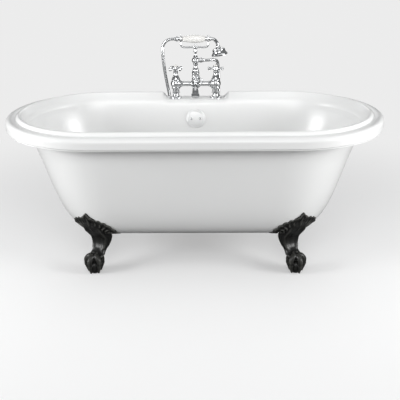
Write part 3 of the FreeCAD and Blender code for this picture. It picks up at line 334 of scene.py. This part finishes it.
facePlastic = finishedMaterial(
    "rosePlate", colours=((0.62, 0.63, 0.64), (0.70, 0.71, 0.72)), rough=(0.2, 0.3),
    grain=(40.0, 600.0), bump=(0.05, 0.0001), Metallic=1.0)
finishOf = {
    "acrylic": acrylic, "board": plywood, "foot_iron": castIron, "pad": rubber, "zinc": zinc,
    "chrome": chrome, "brass": brass, "gasket": rubber, "porcelain": porcelain, "hose_metal": chrome,
    "face_plastic": facePlastic}
for node in frame["record"]["subparts"]:
    piece = frame["nodes"].get(node["node"])
    if piece is not None:
        piece.data.materials.clear()
        piece.data.materials.append(finishOf[node["material_slot"]])
print("materials made")

# Shower hose, in metres; it is made as one piece with no body
hose = {
    "diameter": 0.013, "length": 1.5, "pitch": 0.0032, "groove": 0.0006, "around": 20, "ringsPerTurn": 5,
    "stepsPerPoint": 24, "pathPoints": 600, "sharp": 80,
    "blendStart": (0.03, 0.402, 0.18), "blendEnd": (-0.07, 0.402, 0.18),
    "route": [
        (0.0388, 0.341, 0.763), (0.061, 0.341, 0.763), (0.080, 0.3515, 0.7635), (0.0925, 0.367, 0.758),
        (0.0985, 0.382, 0.7445), (0.101, 0.3925, 0.724), (0.1025, 0.3985, 0.694), (0.103, 0.400, 0.650),
        (0.1025, 0.399, 0.603), (0.102, 0.400, 0.554), (0.100, 0.402, 0.500), (0.097, 0.401, 0.444),
        (0.093, 0.400, 0.388), (0.087, 0.401, 0.333), (0.079, 0.402, 0.280), (0.068, 0.402, 0.230),
        (0.050, 0.402, 0.187), (0.021, 0.402, 0.162), (-0.014, 0.402, 0.160), (-0.046, 0.402, 0.178),
        (-0.068, 0.402, 0.214), (-0.083, 0.402, 0.260), (-0.095, 0.401, 0.312), (-0.104, 0.400, 0.368),
        (-0.1105, 0.400, 0.426), (-0.1145, 0.401, 0.484), (-0.1175, 0.402, 0.541), (-0.122, 0.399, 0.594),
        (-0.1295, 0.3875, 0.640), (-0.136, 0.373, 0.685), (-0.1405, 0.3585, 0.728), (-0.1438, 0.347, 0.769),
        (-0.145, 0.3416, 0.8028), (-0.1447, 0.341, 0.8228), (-0.1369, 0.341, 0.8395),
        (-0.1231, 0.341, 0.8514), (-0.1063, 0.341, 0.8565), (-0.0923, 0.341, 0.8565)]}


def splinePath(route, steps):
    # the NURBS curve that has the route's points as its control points, read back as points
    data = bpy.data.curves.new("hoseLine", "CURVE")
    data.dimensions = "3D"
    spline = data.splines.new("NURBS")
    spline.points.add(len(route) - 1)
    spline.points.foreach_set("co", np.array([(*p, 1.0) for p in route]).ravel())
    spline.order_u = 3
    spline.use_endpoint_u = True
    spline.resolution_u = steps
    line = bpy.data.objects.new("hoseLine", data)
    read = bpy.data.meshes.new_from_object(line)
    points = meshPoints(read)
    bpy.data.objects.remove(line)
    bpy.data.meshes.remove(read)
    return points


def makeHose():
    # radius = half the diameter less a groove that winds round: its depth * (1 - |sin|) squared
    line = splinePath(hose["route"], hose["stepsPerPoint"])
    path = evenly(line, int(hose["length"] / hose["pitch"] * hose["ringsPerTurn"]))
    along = chordLength(path)[:, None]
    angle = np.linspace(0, 2 * math.pi, hose["around"], endpoint=False)[None, :]
    wave = np.abs(np.sin(math.pi * along / hose["pitch"] + angle / 2))
    radii = hose["diameter"] / 2 - hose["groove"] * (1 - wave) ** 2
    grid = closedTube(tubeAlong(path, radii, hose["around"]), path[0], path[-1])
    piece = makePiece("shower_hose", [(grid, False, True)], finishOf["hose_metal"], None,
                      hose["sharp"])
    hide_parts("hose")
    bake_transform(piece)


makeHose()
print("hose made")

# The tub, in mm. A wall section is its level against the top of the roll, its half length and its half
# width; a rim row is its inset from the outer edge and its level, or in landingFall how far it lies
# below the landing; rimRound is a reach, a foot and a height, landingRound a radius
tub = {
    "rollTop": 614.0, "halfLong": 762.0, "halfWide": 381.0, "acrylic": 6.0, "skinWall": 4.0,
    "deckFlat": 122.0, "deckRamp": 28.0, "deckDrop": 19.0, "drainY": 58.0, "drainRadius": 25.0,
    "shoeRadius": 42.0, "endColumns": 72, "frontColumns": 48, "backColumns": (18, 26, 14), "rampMargin": 8.0,
    "roundRows": 9, "rimRows": 110, "wallRows": 46, "floorRows": 12, "skinRows": 60, "bottomRows": 8,
    "sharp": 50,
    "basin": [
        (-34, 669, 293), (-60, 655, 287), (-90, 641, 282), (-130, 626, 276), (-180, 608, 268),
        (-235, 588, 259), (-290, 566, 248), (-335, 545, 235), (-370, 522, 219), (-395, 496, 199),
        (-411, 466, 174), (-420, 434, 146), (-424, 400, 117)],
    "skin": [
        (-66, 667, 307), (-95, 655, 303), (-130, 641, 297), (-175, 626, 290.5), (-225, 610, 282.5),
        (-280, 592, 273), (-330, 574, 263), (-370, 557, 252), (-400, 541, 240), (-422, 524, 226),
        (-438, 504, 208), (-447.5, 481, 188), (-451, 457, 167)],
    "rimSide": [(0, -39), (0, -33), (0, -25)], "rimRound": (17.0, -17.5, 18.0),
    "rimTop": [
        (24, 0.3), (30, -0.9), (35, -2.0), (39, -2.1), (42.4, -0.6), (45.2, 3.2), (47.6, 7.4), (50.6, 10.6),
        (54.8, 11.9), (59.2, 10.9), (63, 7.6), (66.5, 2.8), (72, -4.6), (79, -14), (84, -23), (88, -34)],
    "underRim": [
        (80, -30), (74, -16), (66, -5), (60, 3), (55.5, 5.4), (51, 3.5), (46, -3), (40, -7.2), (24, -4.8),
        (10, -5.8), (7, -7.4), (6, -12), (6, -30), (6.6, -35), (9, -36), (16, -36), (16, -42), (3, -42),
        (0.9, -41.1)],
    "landingSide": [(0, -39), (0, -36), (0, -32)], "landingRound": 9.0,
    "landingFlat": (15, 22, 29, 36, 43, 50, 56, 62, 68),
    "landingFall": [(73, 0.3), (77, 1.4), (80, 3.4), (82.6, 6.2), (84.8, 9.4)],
    "landingEnd": [(86.6, -31.5), (88, -34)],
    "underLanding": [
        (82, -34), (80, -30), (76, -26), (70, -25), (62, -25), (54, -25), (46, -25), (38, -25), (30, -25),
        (20, -25), (10, -25.4), (7.2, -27), (6, -30), (6.4, -34), (9, -36), (16, -36), (16, -42), (3, -42),
        (0.9, -41.1)],
    "flange": [
        (-42.3, 758, 377), (-46.3, 758, 377), (-46.3, 730, 351), (-46.3, 698, 322), (-47.4, 688, 315.5),
        (-51, 679.5, 311.5), (-57, 672, 309)],
    "skinTop": [(-50, 672, 306), (-42.3, 676, 308)]}


def stadiumColumns(dense):
    # for each column how far along the straight it lies (-1 to 1) and the direction it faces
    ends = np.linspace(-90, 90, tub["endColumns"], endpoint=False)
    front = np.linspace(-1, 1, tub["frontColumns"], endpoint=False)
    back = front[::-1] + 2.0 / tub["frontColumns"]
    if dense:
        # closer columns over the two ramps of the landing
        margin, straight = tub["rampMargin"], tub["halfLong"] - tub["halfWide"]
        start, end = (tub["deckFlat"] + np.array([-margin, tub["deckRamp"] + margin])) / straight
        flat, slope, rest = tub["backColumns"]
        half = np.concatenate([
            np.linspace(0, start, flat, endpoint=False), np.linspace(start, end, slope, endpoint=False),
            np.linspace(end, 1, rest, endpoint=False)])
        back = np.concatenate([[1.0], half[:0:-1], [0.0], -half[1:]])
    shares = np.concatenate([np.ones(len(ends)), back, -np.ones(len(ends)), front])
    facing = np.concatenate([ends, np.full(len(back), 90.0), ends + 180, np.full(len(front), 270.0)])
    return shares, np.radians(facing)


def stadiumRings(sections, shares, facing):
    # point = straight share of (half length - half width) plus half width round the end
    sections = np.asarray(sections, dtype=float)
    level, halfLong, halfWide = (sections[:, k:k + 1] for k in range(3))
    x = (halfLong - halfWide) * shares + halfWide * np.cos(facing)
    y = halfWide * np.sin(facing)
    z = np.broadcast_to(level + tub["rollTop"], x.shape)
    return np.stack([x, y, z], axis=-1)


def towardsHole(ring, level, radius, steps):
    # a flat floor between a ring and the round drain hole, point by point along the same directions
    hole = np.array([0.0, tub["drainY"]])
    way = ring[:, :2] - hole
    way /= np.linalg.norm(way, axis=1, keepdims=True)
    share = np.linspace(0, 1, steps + 1)[1:, None, None]
    flat = ring[None, :, :2] * (1 - share) + (hole + radius * way)[None] * share
    z = ring[None, :, 2:] * (1 - share) + (tub["rollTop"] + level) * share
    return np.concatenate([flat, np.broadcast_to(z, flat.shape[:2] + (1,))], axis=-1)


def quarterRound(reach, foot, height):
    # a quarter of an oval: inset = reach - reach * cos, level = foot + height * sin
    turn = np.radians(np.linspace(0, 90, tub["roundRows"]))
    return [(reach - reach * math.cos(a), foot + height * math.sin(a)) for a in turn]


def insets(rows):
    # rim rows become full sections
    rows = np.asarray(rows, dtype=float)
    return np.stack([rows[:, 1], tub["halfLong"] - rows[:, 0], tub["halfWide"] - rows[:, 0]], axis=1)


def landingShare(points):
    # 1 on the lowered landing at the back, falling to 0 over the ramps as 3t^2 - 2t^3
    t = np.clip((np.abs(points[..., 0]) - tub["deckFlat"]) / tub["deckRamp"], 0, 1)
    return np.where(points[..., 1] > 0, 1 - (3 * t**2 - 2 * t**3), 0.0)[..., None]


def rimRings(rim, landing, shares, facing):
    # the rim's rings, which pass into the landing's rings over the ramps
    high, low = (stadiumRings(insets(rows), shares, facing) for rows in (rim, landing))
    return high + (low - high) * landingShare(high)


def offsetSections(sections, distance):
    # moves each section outwards and square to the wall, by the slope of half width against level
    sections = np.asarray(sections, dtype=float)
    run = np.gradient(sections, axis=0)
    steep = np.hypot(run[:, 0], run[:, 2])
    moved = sections.copy()
    moved[:, 0] += distance * run[:, 2] / steep
    moved[:, 1] -= distance * run[:, 0] / steep
    moved[:, 2] -= distance * run[:, 0] / steep
    return moved


def makeBasin():
    # one closed sheet: over the rim, down the inside and in to the drain hole, then back under the
    # floor, up the outside and under the rim, with fewer rows where it is hidden
    shares, facing = stadiumColumns(True)
    wall = throughPoints(tub["basin"], tub["wallRows"])
    edge, flat = tub["landingRound"], -tub["deckDrop"]
    rim = tub["rimSide"] + quarterRound(*tub["rimRound"]) + tub["rimTop"]
    landing = tub["landingSide"] + quarterRound(edge, flat - edge, edge)
    landing += [(inset, flat) for inset in tub["landingFlat"]]
    landing += [(inset, flat - fall) for inset, fall in tub["landingFall"]] + tub["landingEnd"]
    rim, landing = (throughPoints(rows, tub["rimRows"]) for rows in (rim, landing))
    top = rimRings(rim, landing, shares, facing)
    inside = stadiumRings(wall[1:], shares, facing)
    floor = towardsHole(inside[-1], tub["basin"][-1][0], tub["drainRadius"], tub["floorRows"])
    under = floor[::-3] - [0, 0, tub["acrylic"]]
    outside = stadiumRings(offsetSections(wall, tub["acrylic"])[::-2], shares, facing)
    below = rimRings(tub["underRim"], tub["underLanding"], shares, facing)
    grid = np.concatenate([top, inside, floor, under, outside, below]) * mm
    piece = makePiece("basin", [(grid, True, True)], acrylic, "tub", tub["sharp"])
    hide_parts("basin_shell")


def makeSkin():
    # one closed sheet: the flange under the rim, the wall by its table, the bottom and the bottom's
    # upper face, then the wall's other face, one wall thickness outside the table, and the top edge
    shares, facing = stadiumColumns(False)
    wall = throughPoints(tub["skin"], tub["skinRows"])
    first = stadiumRings(np.vstack([tub["flange"], wall]), shares, facing)
    bottom = towardsHole(first[-1], tub["skin"][-1][0], tub["shoeRadius"], tub["bottomRows"])
    above = bottom[::-2] + [0, 0, tub["skinWall"]]
    other = offsetSections(wall, tub["skinWall"])[::-3]
    other[0, 0] = tub["skin"][-1][0] + tub["skinWall"]
    second = stadiumRings(np.vstack([other, tub["skinTop"]]), shares, facing)
    grid = np.concatenate([first, bottom, above, second]) * mm
    piece = makePiece("tub_skin", [(grid, True, True)], acrylic, "tub", tub["sharp"])
    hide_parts("outer_skin")


# Overflow plate, in mm: distances from its middle, and heights and depths square to the wall; rows are
# first, last and how many; the slot leans by radians from straight up and spans degrees to each side
plate = {
    "radius": 42.5, "domeRadius": 43.5, "rim": 2.6, "face": 9.0, "groove": 1.7, "grooveAt": 37.6,
    "grooveWide": 1.3, "slot": 3.6, "slotAt": 33.5, "slotWide": 2.4, "slotLean": 0.35, "slotTurn": 38.0,
    "columns": 128, "middleRows": (0, 30, 16), "outerRows": (30.6, 41.5, 34), "edgeInsets": (0.5, 0.15, 0, 0),
    "edgeHeights": (2.6, 1.8, 0.3), "tiltSpan": 20.0, "sharp": 50}


def makePlate():
    # the gasket under it gives the level, the basin's wall the place and the tilt; height = a dome
    # less a ring groove and a crescent slot at the top, whose depth falls off with the turn
    low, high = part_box("overflow_gasket")
    wall = np.array(tub["basin"], dtype=float)
    middle = 0.5 * (np.array(low) + np.array(high)) / mm
    depth, span = tub["rollTop"] - middle[2], plate["tiltSpan"]
    half = [np.interp(depth - step, -wall[:, 0], wall[:, 2]) for step in (0, span, -span)]
    tilt = math.atan2(half[1] - half[2], 2 * span)
    out = np.array([0.0, -math.cos(tilt), math.sin(tilt)])
    up = np.array([0.0, math.sin(tilt), math.cos(tilt)])
    origin = middle + out * ((middle[1] - half[0]) / math.cos(tilt))
    turn = np.linspace(0, 2 * math.pi, plate["columns"], endpoint=False)[None, :]
    edge = plate["radius"] - np.array(plate["edgeInsets"])
    rows = [np.linspace(*plate["middleRows"]), np.linspace(*plate["outerRows"]), edge]
    reach = np.concatenate(rows)[:, None]
    dome = np.sqrt(np.maximum(1 - (reach / plate["domeRadius"]) ** 2, 0))
    height = plate["rim"] + (plate["face"] - plate["rim"]) * dome
    height = height - plate["groove"] * bell(reach, plate["grooveAt"], plate["grooveWide"])
    lean = turn - plate["slotLean"]
    share = np.exp(-((np.arctan2(np.sin(lean), np.cos(lean)) / math.radians(plate["slotTurn"])) ** 4))
    height = height - plate["slot"] * share * bell(reach, plate["slotAt"], plate["slotWide"])
    height[-3:] = np.array(plate["edgeHeights"])[:, None]
    sideways, upwards = reach * np.sin(turn), reach * np.cos(turn)
    grid = origin + sideways[..., None] * [1.0, 0.0, 0.0] + upwards[..., None] * up + height[..., None] * out
    back = np.tile(origin + plate["edgeHeights"][-1] * out, (1, plate["columns"], 1))
    grid = np.concatenate([grid, back]) * mm
    piece = makePiece("overflow_cover", [(grid, False, True)], satinChrome, "tub", plate["sharp"])
    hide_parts("overflow_plate")


makeBasin()
makeSkin()
makePlate()
print("shells made")

# Claw feet: one form worked out in the foot's own axes (across, outwards, up, in mm from the middle of
# the tub's rounded end), then set at the four corners; a wall row is the level and the tub's reach
foot = {
    "facing": 28.0, "roundCentre": 298.0, "voxel": 0.0014, "smoothing": 3,
    "wall": [
        (130, 150), (163, 167), (166.5, 188), (176, 208), (192, 226), (214, 240), (244, 252), (284, 263)],
    "ball": (0, 241, 27.5), "ballRadius": 27.0, "ballGrid": (34, 56),
    "eye": (8.0, 8.0, 7.0), "eyeAt": (37.0, 184.0), "eyeStand": 11.0, "eyeGrid": (20, 32),
    "lugHalf": (32, 58), "lugMiddle": (0, 160), "lugLevels": (150.6, 162.4), "lugRound": 0.8,
    "lugColumns": 64, "markWide": 4, "markSpread": 2, "markGain": 1.6}

# Leg rows: level, distance out, half width across and half depth outwards; ridges in degrees round it
leg = {
    "rows": [
        (224, 243, 44, 12), (204, 235, 47, 20), (182, 221, 48, 26), (160, 199, 47, 31), (138, 182, 43.5, 31),
        (118, 182, 39, 28), (98, 192, 33.5, 25), (86, 201, 30.5, 25), (77, 212, 31, 27), (71, 220, 33, 30),
        (66, 226, 30, 28), (58, 232, 20, 18), (50, 236, 12, 12)],
    "ridges": (46, 132, -46, -132), "ridge": 5.0, "ridgeWidth": 17.0, "hollow": 5.2, "start": (84, 98),
    "end": (206, 186), "meetsWall": 164, "sunk": 2, "count": 90, "around": 96}

# Talon rows: distance from the ball's upright axis, level and radius; the section is the plain share
# of that radius, and on the keel the keel's share more
talon = {
    "rows": [
        (8, 76, 11.5), (20, 70, 13.0), (28.5, 61, 11.8), (31.5, 52, 11.0), (32.5, 43, 9.4), (32.5, 35, 9.2),
        (31, 27, 7.6), (29, 20, 6.6), (27, 13, 5.6), (25.5, 7, 4.9), (24.5, 3, 4.2)],
    "plain": 0.93, "keel": 0.17, "keelWidth": 0.22, "lowest": 0.15, "count": 70, "around": 32, "number": 5}

# Leaf: the tips of its lobes across and up, and for each rib beside the middle one its root and radius;
# notchFade and peakReach count lobes, furrowPast and roundEdge are shares of the way from root to edge
leaf = {
    "root": 142.0, "notch": 7.0, "notchFade": 1.5, "thick": 8.0, "rootThick": 7.0, "furrow": 6.0,
    "furrowPast": 1.15, "curl": 9.0, "plainCurl": 0.45, "peakReach": 1.6, "shift": -7.0, "sunk": 1.6,
    "roundEdge": 0.07, "rows": 60, "columns": 337,
    "lobes": [(0, 270), (27, 246), (50, 240), (72, 231), (90, 217), (102, 197), (104, 172), (90, 146)],
    "middleRib": ((0, 182), 9.5),
    "ribs": [((15, 176), 6.8), ((25, 172), 6.4), ((34, 170), 6.0), ((42, 168), 5.6), ((47, 165), 5.2),
             ((50, 158), 4.8)],
    "bow": (6.0, 5.0), "sway": (-3.0, 3.0), "tipGap": 5, "stand": 9.0, "rootStand": 6.0, "tipStand": 5.0,
    "taper": 0.62, "tipRound": (1.03, 0.91), "count": 40, "around": 20}


def wallReach(across, level):
    # how far out the tub's outside is at a point across and up: root of half width^2 - across^2
    table = np.array(foot["wall"], dtype=float)
    return np.sqrt(np.maximum(np.interp(level, table[:, 0], table[:, 1]) ** 2 - across**2, 1.0))


def legSheet():
    # ovals stacked up the leg, with four raised edges and hollows between them; its upper part
    # reaches at least to the tub's wall
    rows = throughPoints([(d, a, b, z) for z, d, a, b in leg["rows"]], leg["count"])
    place, wide, deep, level = (rows[:, k:k + 1] for k in range(4))
    angle = np.linspace(-math.pi, math.pi, leg["around"], endpoint=False)
    height = ramp(level, *leg["start"]) * ramp(level, *leg["end"])
    ridges = sum(bell(np.degrees(angle)[None, :], at, leg["ridgeWidth"]) for at in leg["ridges"])
    swell = (leg["ridge"] * ridges - leg["hollow"] * (1 - ridges)) * height
    across = (wide + swell) * np.sin(angle)
    out = place + (deep + swell) * np.cos(angle)
    level = np.broadcast_to(level, across.shape)
    out = np.where(level > leg["meetsWall"], np.maximum(out, wallReach(across, level) - leg["sunk"]), out)
    return closedTube(np.stack([across, out, level], axis=-1)), False, True


def talonSheet(turn):
    # a toe bent over the ball: its radius swells at the knuckles, and a keel runs along its outer side
    rows = throughPoints(talon["rows"], talon["count"])
    way = np.array([math.sin(math.radians(turn)), math.cos(math.radians(turn)), 0.0])
    path = np.array(foot["ball"]) * [1, 1, 0] + rows[:, :1] * way + rows[:, 1:2] * [0, 0, 1]
    beside = np.array([way[1], -way[0], 0.0])
    grid = tubeAlong(path, rows[:, 2:3], talon["around"], reference=beside)
    outer = (grid - path[:, None]) @ way / rows[:, 2:3]
    keel = bell(outer, 1, talon["keelWidth"])
    grid = path[:, None] + (grid - path[:, None]) * (talon["plain"] + talon["keel"] * keel)[..., None]
    grid[..., 2] = np.maximum(grid[..., 2], talon["lowest"])
    return closedTube(grid), False, True


def ballSheet():
    return sphereGrid(*foot["ballGrid"]) * foot["ballRadius"] + foot["ball"], False, True


def leafRay(share):
    # how far and in which direction the leaf's edge lies for a lobe number, negative on the left: the
    # tips joined smoothly, less a notch that is deepest half way between two tips
    tips = np.array(leaf["lobes"], dtype=float) - [0, leaf["root"]]
    last = len(tips) - 1
    number = np.abs(share)
    bearing = np.interp(number, np.arange(len(tips)), np.arctan2(tips[:, 0], tips[:, 1]))
    far = np.interp(number, np.arange(len(tips)), np.hypot(tips[:, 0], tips[:, 1]))
    fade = ramp(number, last, last - leaf["notchFade"])
    notch = leaf["notch"] * (1 - np.abs(np.cos(math.pi * number)) ** 0.8) * fade
    return np.sign(share) * bearing, far - notch


def leafSheet():
    # a fan of rays from the root over the tub's outside: thicker at the root, thinner in the furrows
    # between the ribs, curling out at the edge and most at the middle tip, with the edge rounded; the
    # powers set how soon each of these sets in
    last = len(leaf["lobes"]) - 1
    share = np.linspace(-last, last, leaf["columns"])[None, :]
    along = np.linspace(0, 1, leaf["rows"])[:, None] ** 0.85
    bearing, far = leafRay(share)
    across = far * along * np.sin(bearing) + leaf["shift"] * along
    level = leaf["root"] + far * along * np.cos(bearing)
    rib = np.abs(np.cos(math.pi * share)) ** 1.6
    sink = (1 - rib) * np.sin(math.pi * np.clip(along * leaf["furrowPast"], 0, 1)) ** 0.7
    thick = leaf["thick"] + leaf["rootThick"] * (1 - along) ** 1.3 - leaf["furrow"] * sink
    peak = np.clip(leaf["peakReach"] - np.abs(share), 0, 1)
    thick = thick + leaf["curl"] * (leaf["plainCurl"] + peak + (np.abs(share) / last) ** 2) * along**4
    wall = wallReach(across, level)
    rounded = np.sqrt(1 - (1 - ramp(along, 1, 1 - leaf["roundEdge"])) ** 2)
    lift = (thick * 0.5 - leaf["sunk"]) * along**6 * (1 - rounded)
    front = np.stack([across, wall + thick * (0.5 + 0.5 * rounded), level], axis=-1)
    back = np.stack([across, wall + lift - leaf["sunk"], level], axis=-1)
    return np.concatenate([front, back[::-1]]), True, False


def ribSheet(side, number, root, radius):
    # a round rib from the leg's top to a lobe's tip, half sunk in the leaf; the ones beside the middle
    # bow outwards, and the middle one stands up at its tip
    tip = np.array(leaf["lobes"][number], dtype=float) * [side, 1] + [leaf["shift"], 0]
    t = np.linspace(0, 1, leaf["count"])[:, None]
    line = np.array(root) * [side, 1] * (1 - t) + (tip - [0, leaf["tipGap"]]) * t
    bow = np.sin(math.pi * t) * leaf["bow"] * [side, 1] + np.sin(2 * math.pi * t) * leaf["sway"] * [side, 1]
    line = line + bow * (number > 0)
    stand = leaf["stand"] + leaf["rootStand"] * (1 - t) ** 1.4 + leaf["tipStand"] * t**4 * (number == 0)
    path = np.stack([line[:, 0], wallReach(line[:, 0], line[:, 1]) + stand[:, 0], line[:, 1]], axis=1)
    radii = radius * (1 - leaf["taper"] * t) * np.sqrt(ramp(t, *leaf["tipRound"]))
    return closedTube(tubeAlong(path, radii, leaf["around"]), path[0], path[-1]), False, True


def eyeSheet(side):
    # the round eye of the scroll where leaf and leg meet
    across, level = foot["eyeAt"]
    eye = (sphereGrid(*foot["eyeGrid"]) * foot["eye"])[..., [0, 2, 1]]
    return eye + [side * across, wallReach(across, level) + foot["eyeStand"], level], False, True


def lugSheet():
    # the flat ear under the tub that takes the bolt: a slab whose outline lies between oval and square
    angle = np.linspace(0, 2 * math.pi, foot["lugColumns"], endpoint=False)
    square = np.maximum(np.abs(np.cos(angle)), np.abs(np.sin(angle)))[:, None] ** foot["lugRound"]
    ring = np.stack([np.cos(angle), np.sin(angle)], axis=1) / square * foot["lugHalf"] + foot["lugMiddle"]
    rings = np.stack([np.hstack([ring, np.full((len(ring), 1), z)]) for z in np.repeat(foot["lugLevels"], 2)])
    rings[0] = rings[0].mean(axis=0)
    rings[-1] = rings[-1].mean(axis=0)
    return rings, False, True


def toCorner(grid):
    # turns the foot's own axes to the direction that the front left foot faces
    turn = math.radians(foot["facing"])
    across, out, level = grid[..., 0], grid[..., 1], grid[..., 2]
    x = -foot["roundCentre"] - out * math.sin(turn) + across * math.cos(turn)
    y = -out * math.cos(turn) - across * math.sin(turn)
    return np.stack([x, y, level], axis=-1) * mm


def markRidges(mesh):
    # how far in mm each point stands out from the points round it along its normal, spread a little
    points = meshPoints(mesh)
    normals = np.zeros(points.size)
    mesh.vertices.foreach_get("normal", normals)
    wide = points
    for _ in range(foot["markWide"]):
        wide = neighbourMean(mesh, wide)
    proud = ((points - wide) * normals.reshape(-1, 3)).sum(axis=1, keepdims=True) / mm
    for _ in range(foot["markSpread"]):
        proud = 0.5 * proud + 0.5 * neighbourMean(mesh, proud)
    # this mark is the mask of the painted highlight on the cast iron's ridges
    mark = mesh.attributes.new("ridge", "FLOAT", "POINT")
    mark.data.foreach_set("value", np.clip(0.5 + proud[:, 0] * foot["markGain"], 0, 1).astype(np.float32))


def footForm():
    # all sheets of the foot remeshed into one surface, its points then drawn towards their neighbours
    sheets = [legSheet(), ballSheet(), leafSheet(), lugSheet(), eyeSheet(-1), eyeSheet(1)]
    sheets += [talonSheet(360 / talon["number"] * k) for k in range(talon["number"])]
    sheets.append(ribSheet(1, 0, *leaf["middleRib"]))
    for side in (-1, 1):
        sheets += [ribSheet(side, k + 1, root, radius) for k, (root, radius) in enumerate(leaf["ribs"])]
    sheets = [(toCorner(grid), wrapRows, wrapCols) for grid, wrapRows, wrapCols in sheets]
    rough = makePiece("footForm", sheets, castIron, None)
    remesh = rough.modifiers.new("remesh", "REMESH")
    remesh.mode = "VOXEL"
    remesh.voxel_size = foot["voxel"]
    form = bpy.data.meshes.new_from_object(rough.evaluated_get(bpy.context.evaluated_depsgraph_get()))
    bpy.data.objects.remove(rough)
    points = meshPoints(form)
    for _ in range(foot["smoothing"]):
        points = 0.5 * points + 0.5 * neighbourMean(form, points)
    form.vertices.foreach_set("co", points.astype(np.float32).ravel())
    form.update()
    markRidges(form)
    form.polygons.foreach_set("use_smooth", np.ones(len(form.polygons), dtype=bool))
    form.materials.clear()
    form.materials.append(castIron)
    return form


def makeFeet():
    form = footForm()
    for end, sy in (("front", 1), ("rear", -1)):
        for side, sx in (("left", 1), ("right", -1)):
            mesh = form.copy()
            mesh.transform(Matrix.Diagonal((sx, sy, 1, 1)))
            if sx * sy < 0:
                mesh.flip_normals()
            piece = bpy.data.objects.new(f"foot_{end}_{side}", mesh)
            scene.collection.objects.link(piece)
            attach(piece, "tub")
            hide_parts(f"claw_foot_{end}_{side}")
    print("feet made,", len(form.polygons), "faces each")


makeFeet()

# Floor, lamps and surroundings, in metres; a lamp is its place, the point it is aimed at, its width and
# height, and its power in watts
stage = {
    "reach": 14.0, "curveStart": 10.5, "curveRadius": 3.0, "grid": (30, 60), "roughness": 0.6,
    "floorColour": (0.90, 0.90, 0.90), "floorBounce": (0.15, 0.15, 0.15),
    "pale": (0.84, 0.84, 0.84, 1), "paleNear": 0.8, "paleFar": 2.1, "paleShare": 0.35,
    "worldColour": (0.62, 0.63, 0.64, 1), "worldStrength": 0.33,
    "lamps": {
        "topBox": ((0, 0.1, 2.7), (0, 0, 0.4), (2.4, 1.6), 8),
        "leftBox": ((-2.9, -1.1, 1.1), (-0.3, 0, 0.4), (1.5, 1.2), 80),
        "rightBox": ((2.9, -1.1, 1.1), (0.3, 0, 0.4), (1.5, 1.2), 80),
        "frontBox": ((0, -3.2, 2.3), (0, 0.1, 0.45), (2.6, 1.2), 42),
        "backBox": ((0, 3.2, 2.0), (0, 0, 0.4), (2.6, 1.2), 16)}}


def floorPaint():
    # the camera sees the floor's own colour, and other rays a darker one; away from the tub the floor
    # turns for the camera into an even pale ground, by a smooth step of the distance
    made, tree, shader = newMaterial("floorPaint", Roughness=stage["roughness"])
    rays = addNode(tree, "ShaderNodeLightPath")
    factor, _, mixed = colourMix(tree, stage["floorBounce"], stage["floorColour"])
    tree.links.new(rays.outputs["Is Camera Ray"], factor)
    tree.links.new(mixed, shader.inputs["Base Color"])
    place = addNode(tree, "ShaderNodeTexCoord")
    distance = addNode(tree, "ShaderNodeVectorMath", operation="LENGTH")
    tree.links.new(place.outputs["Object"], distance.inputs[0])
    fade = addNode(tree, "ShaderNodeMapRange", interpolation_type="SMOOTHSTEP")
    fade.inputs["From Min"].default_value = stage["paleNear"]
    fade.inputs["From Max"].default_value = stage["paleFar"]
    fade.inputs["To Min"].default_value = stage["paleShare"]
    tree.links.new(distance.outputs["Value"], fade.inputs["Value"])
    share = addNode(tree, "ShaderNodeMath", operation="MULTIPLY")
    tree.links.new(fade.outputs["Result"], share.inputs[0])
    tree.links.new(rays.outputs["Is Camera Ray"], share.inputs[1])
    glow = addNode(tree, "ShaderNodeEmission", Strength=1.0, Color=stage["pale"])
    both = addNode(tree, "ShaderNodeMixShader")
    tree.links.new(share.outputs["Value"], both.inputs["Fac"])
    tree.links.new(shader.outputs["BSDF"], both.inputs[1])
    tree.links.new(glow.outputs["Emission"], both.inputs[2])
    tree.links.new(both.outputs["Shader"], tree.nodes["Material Output"].inputs["Surface"])
    return made


def makeFloor():
    # a flat sheet that curves up behind: height = radius less the root of radius^2 - distance^2
    reach, radius, (cols, rows) = stage["reach"], stage["curveRadius"], stage["grid"]
    x, y = np.meshgrid(np.linspace(-reach, reach, cols), np.linspace(-reach, reach, rows), indexing="ij")
    past = np.clip(y - stage["curveStart"], 0, radius)
    z = radius - np.sqrt(np.maximum(radius**2 - past**2, 0))
    grid = np.stack([x, y, z], axis=-1)
    mesh = bpy.data.meshes.new("floor")
    mesh.from_pydata(grid.reshape(-1, 3).tolist(), [], weave(cols, rows, False, False)[:, ::-1].tolist())
    mesh.materials.append(floorPaint())
    floor = bpy.data.objects.new("floor", mesh)
    scene.collection.objects.link(floor)


def addLamp(name, place, aim, size, power):
    data = bpy.data.lights.new(name, "AREA")
    data.shape = "RECTANGLE"
    data.size, data.size_y = size
    data.energy = power
    lamp = bpy.data.objects.new(name, data)
    scene.collection.objects.link(lamp)
    lamp.location = place
    lamp.rotation_euler = (Vector(aim) - Vector(place)).to_track_quat("-Z", "Y").to_euler()


def makeWorld():
    # the camera sees the pale ground's tone, everything else a dim grey room
    world = bpy.data.worlds.new("studio")
    scene.world = world
    world.use_nodes = True
    tree = world.node_tree
    room = tree.nodes["Background"]
    room.inputs["Color"].default_value = stage["worldColour"]
    room.inputs["Strength"].default_value = stage["worldStrength"]
    pale = addNode(tree, "ShaderNodeBackground", Strength=1.0, Color=stage["pale"])
    rays = addNode(tree, "ShaderNodeLightPath")
    both = addNode(tree, "ShaderNodeMixShader")
    tree.links.new(rays.outputs["Is Camera Ray"], both.inputs["Fac"])
    tree.links.new(room.outputs["Background"], both.inputs[1])
    tree.links.new(pale.outputs["Background"], both.inputs[2])
    tree.links.new(both.outputs["Shader"], tree.nodes["World Output"].inputs["Surface"])


makeFloor()
for name, settings in stage["lamps"].items():
    addLamp(name, *settings)
makeWorld()
scene.view_settings.view_transform = "Standard"
print("stage set")
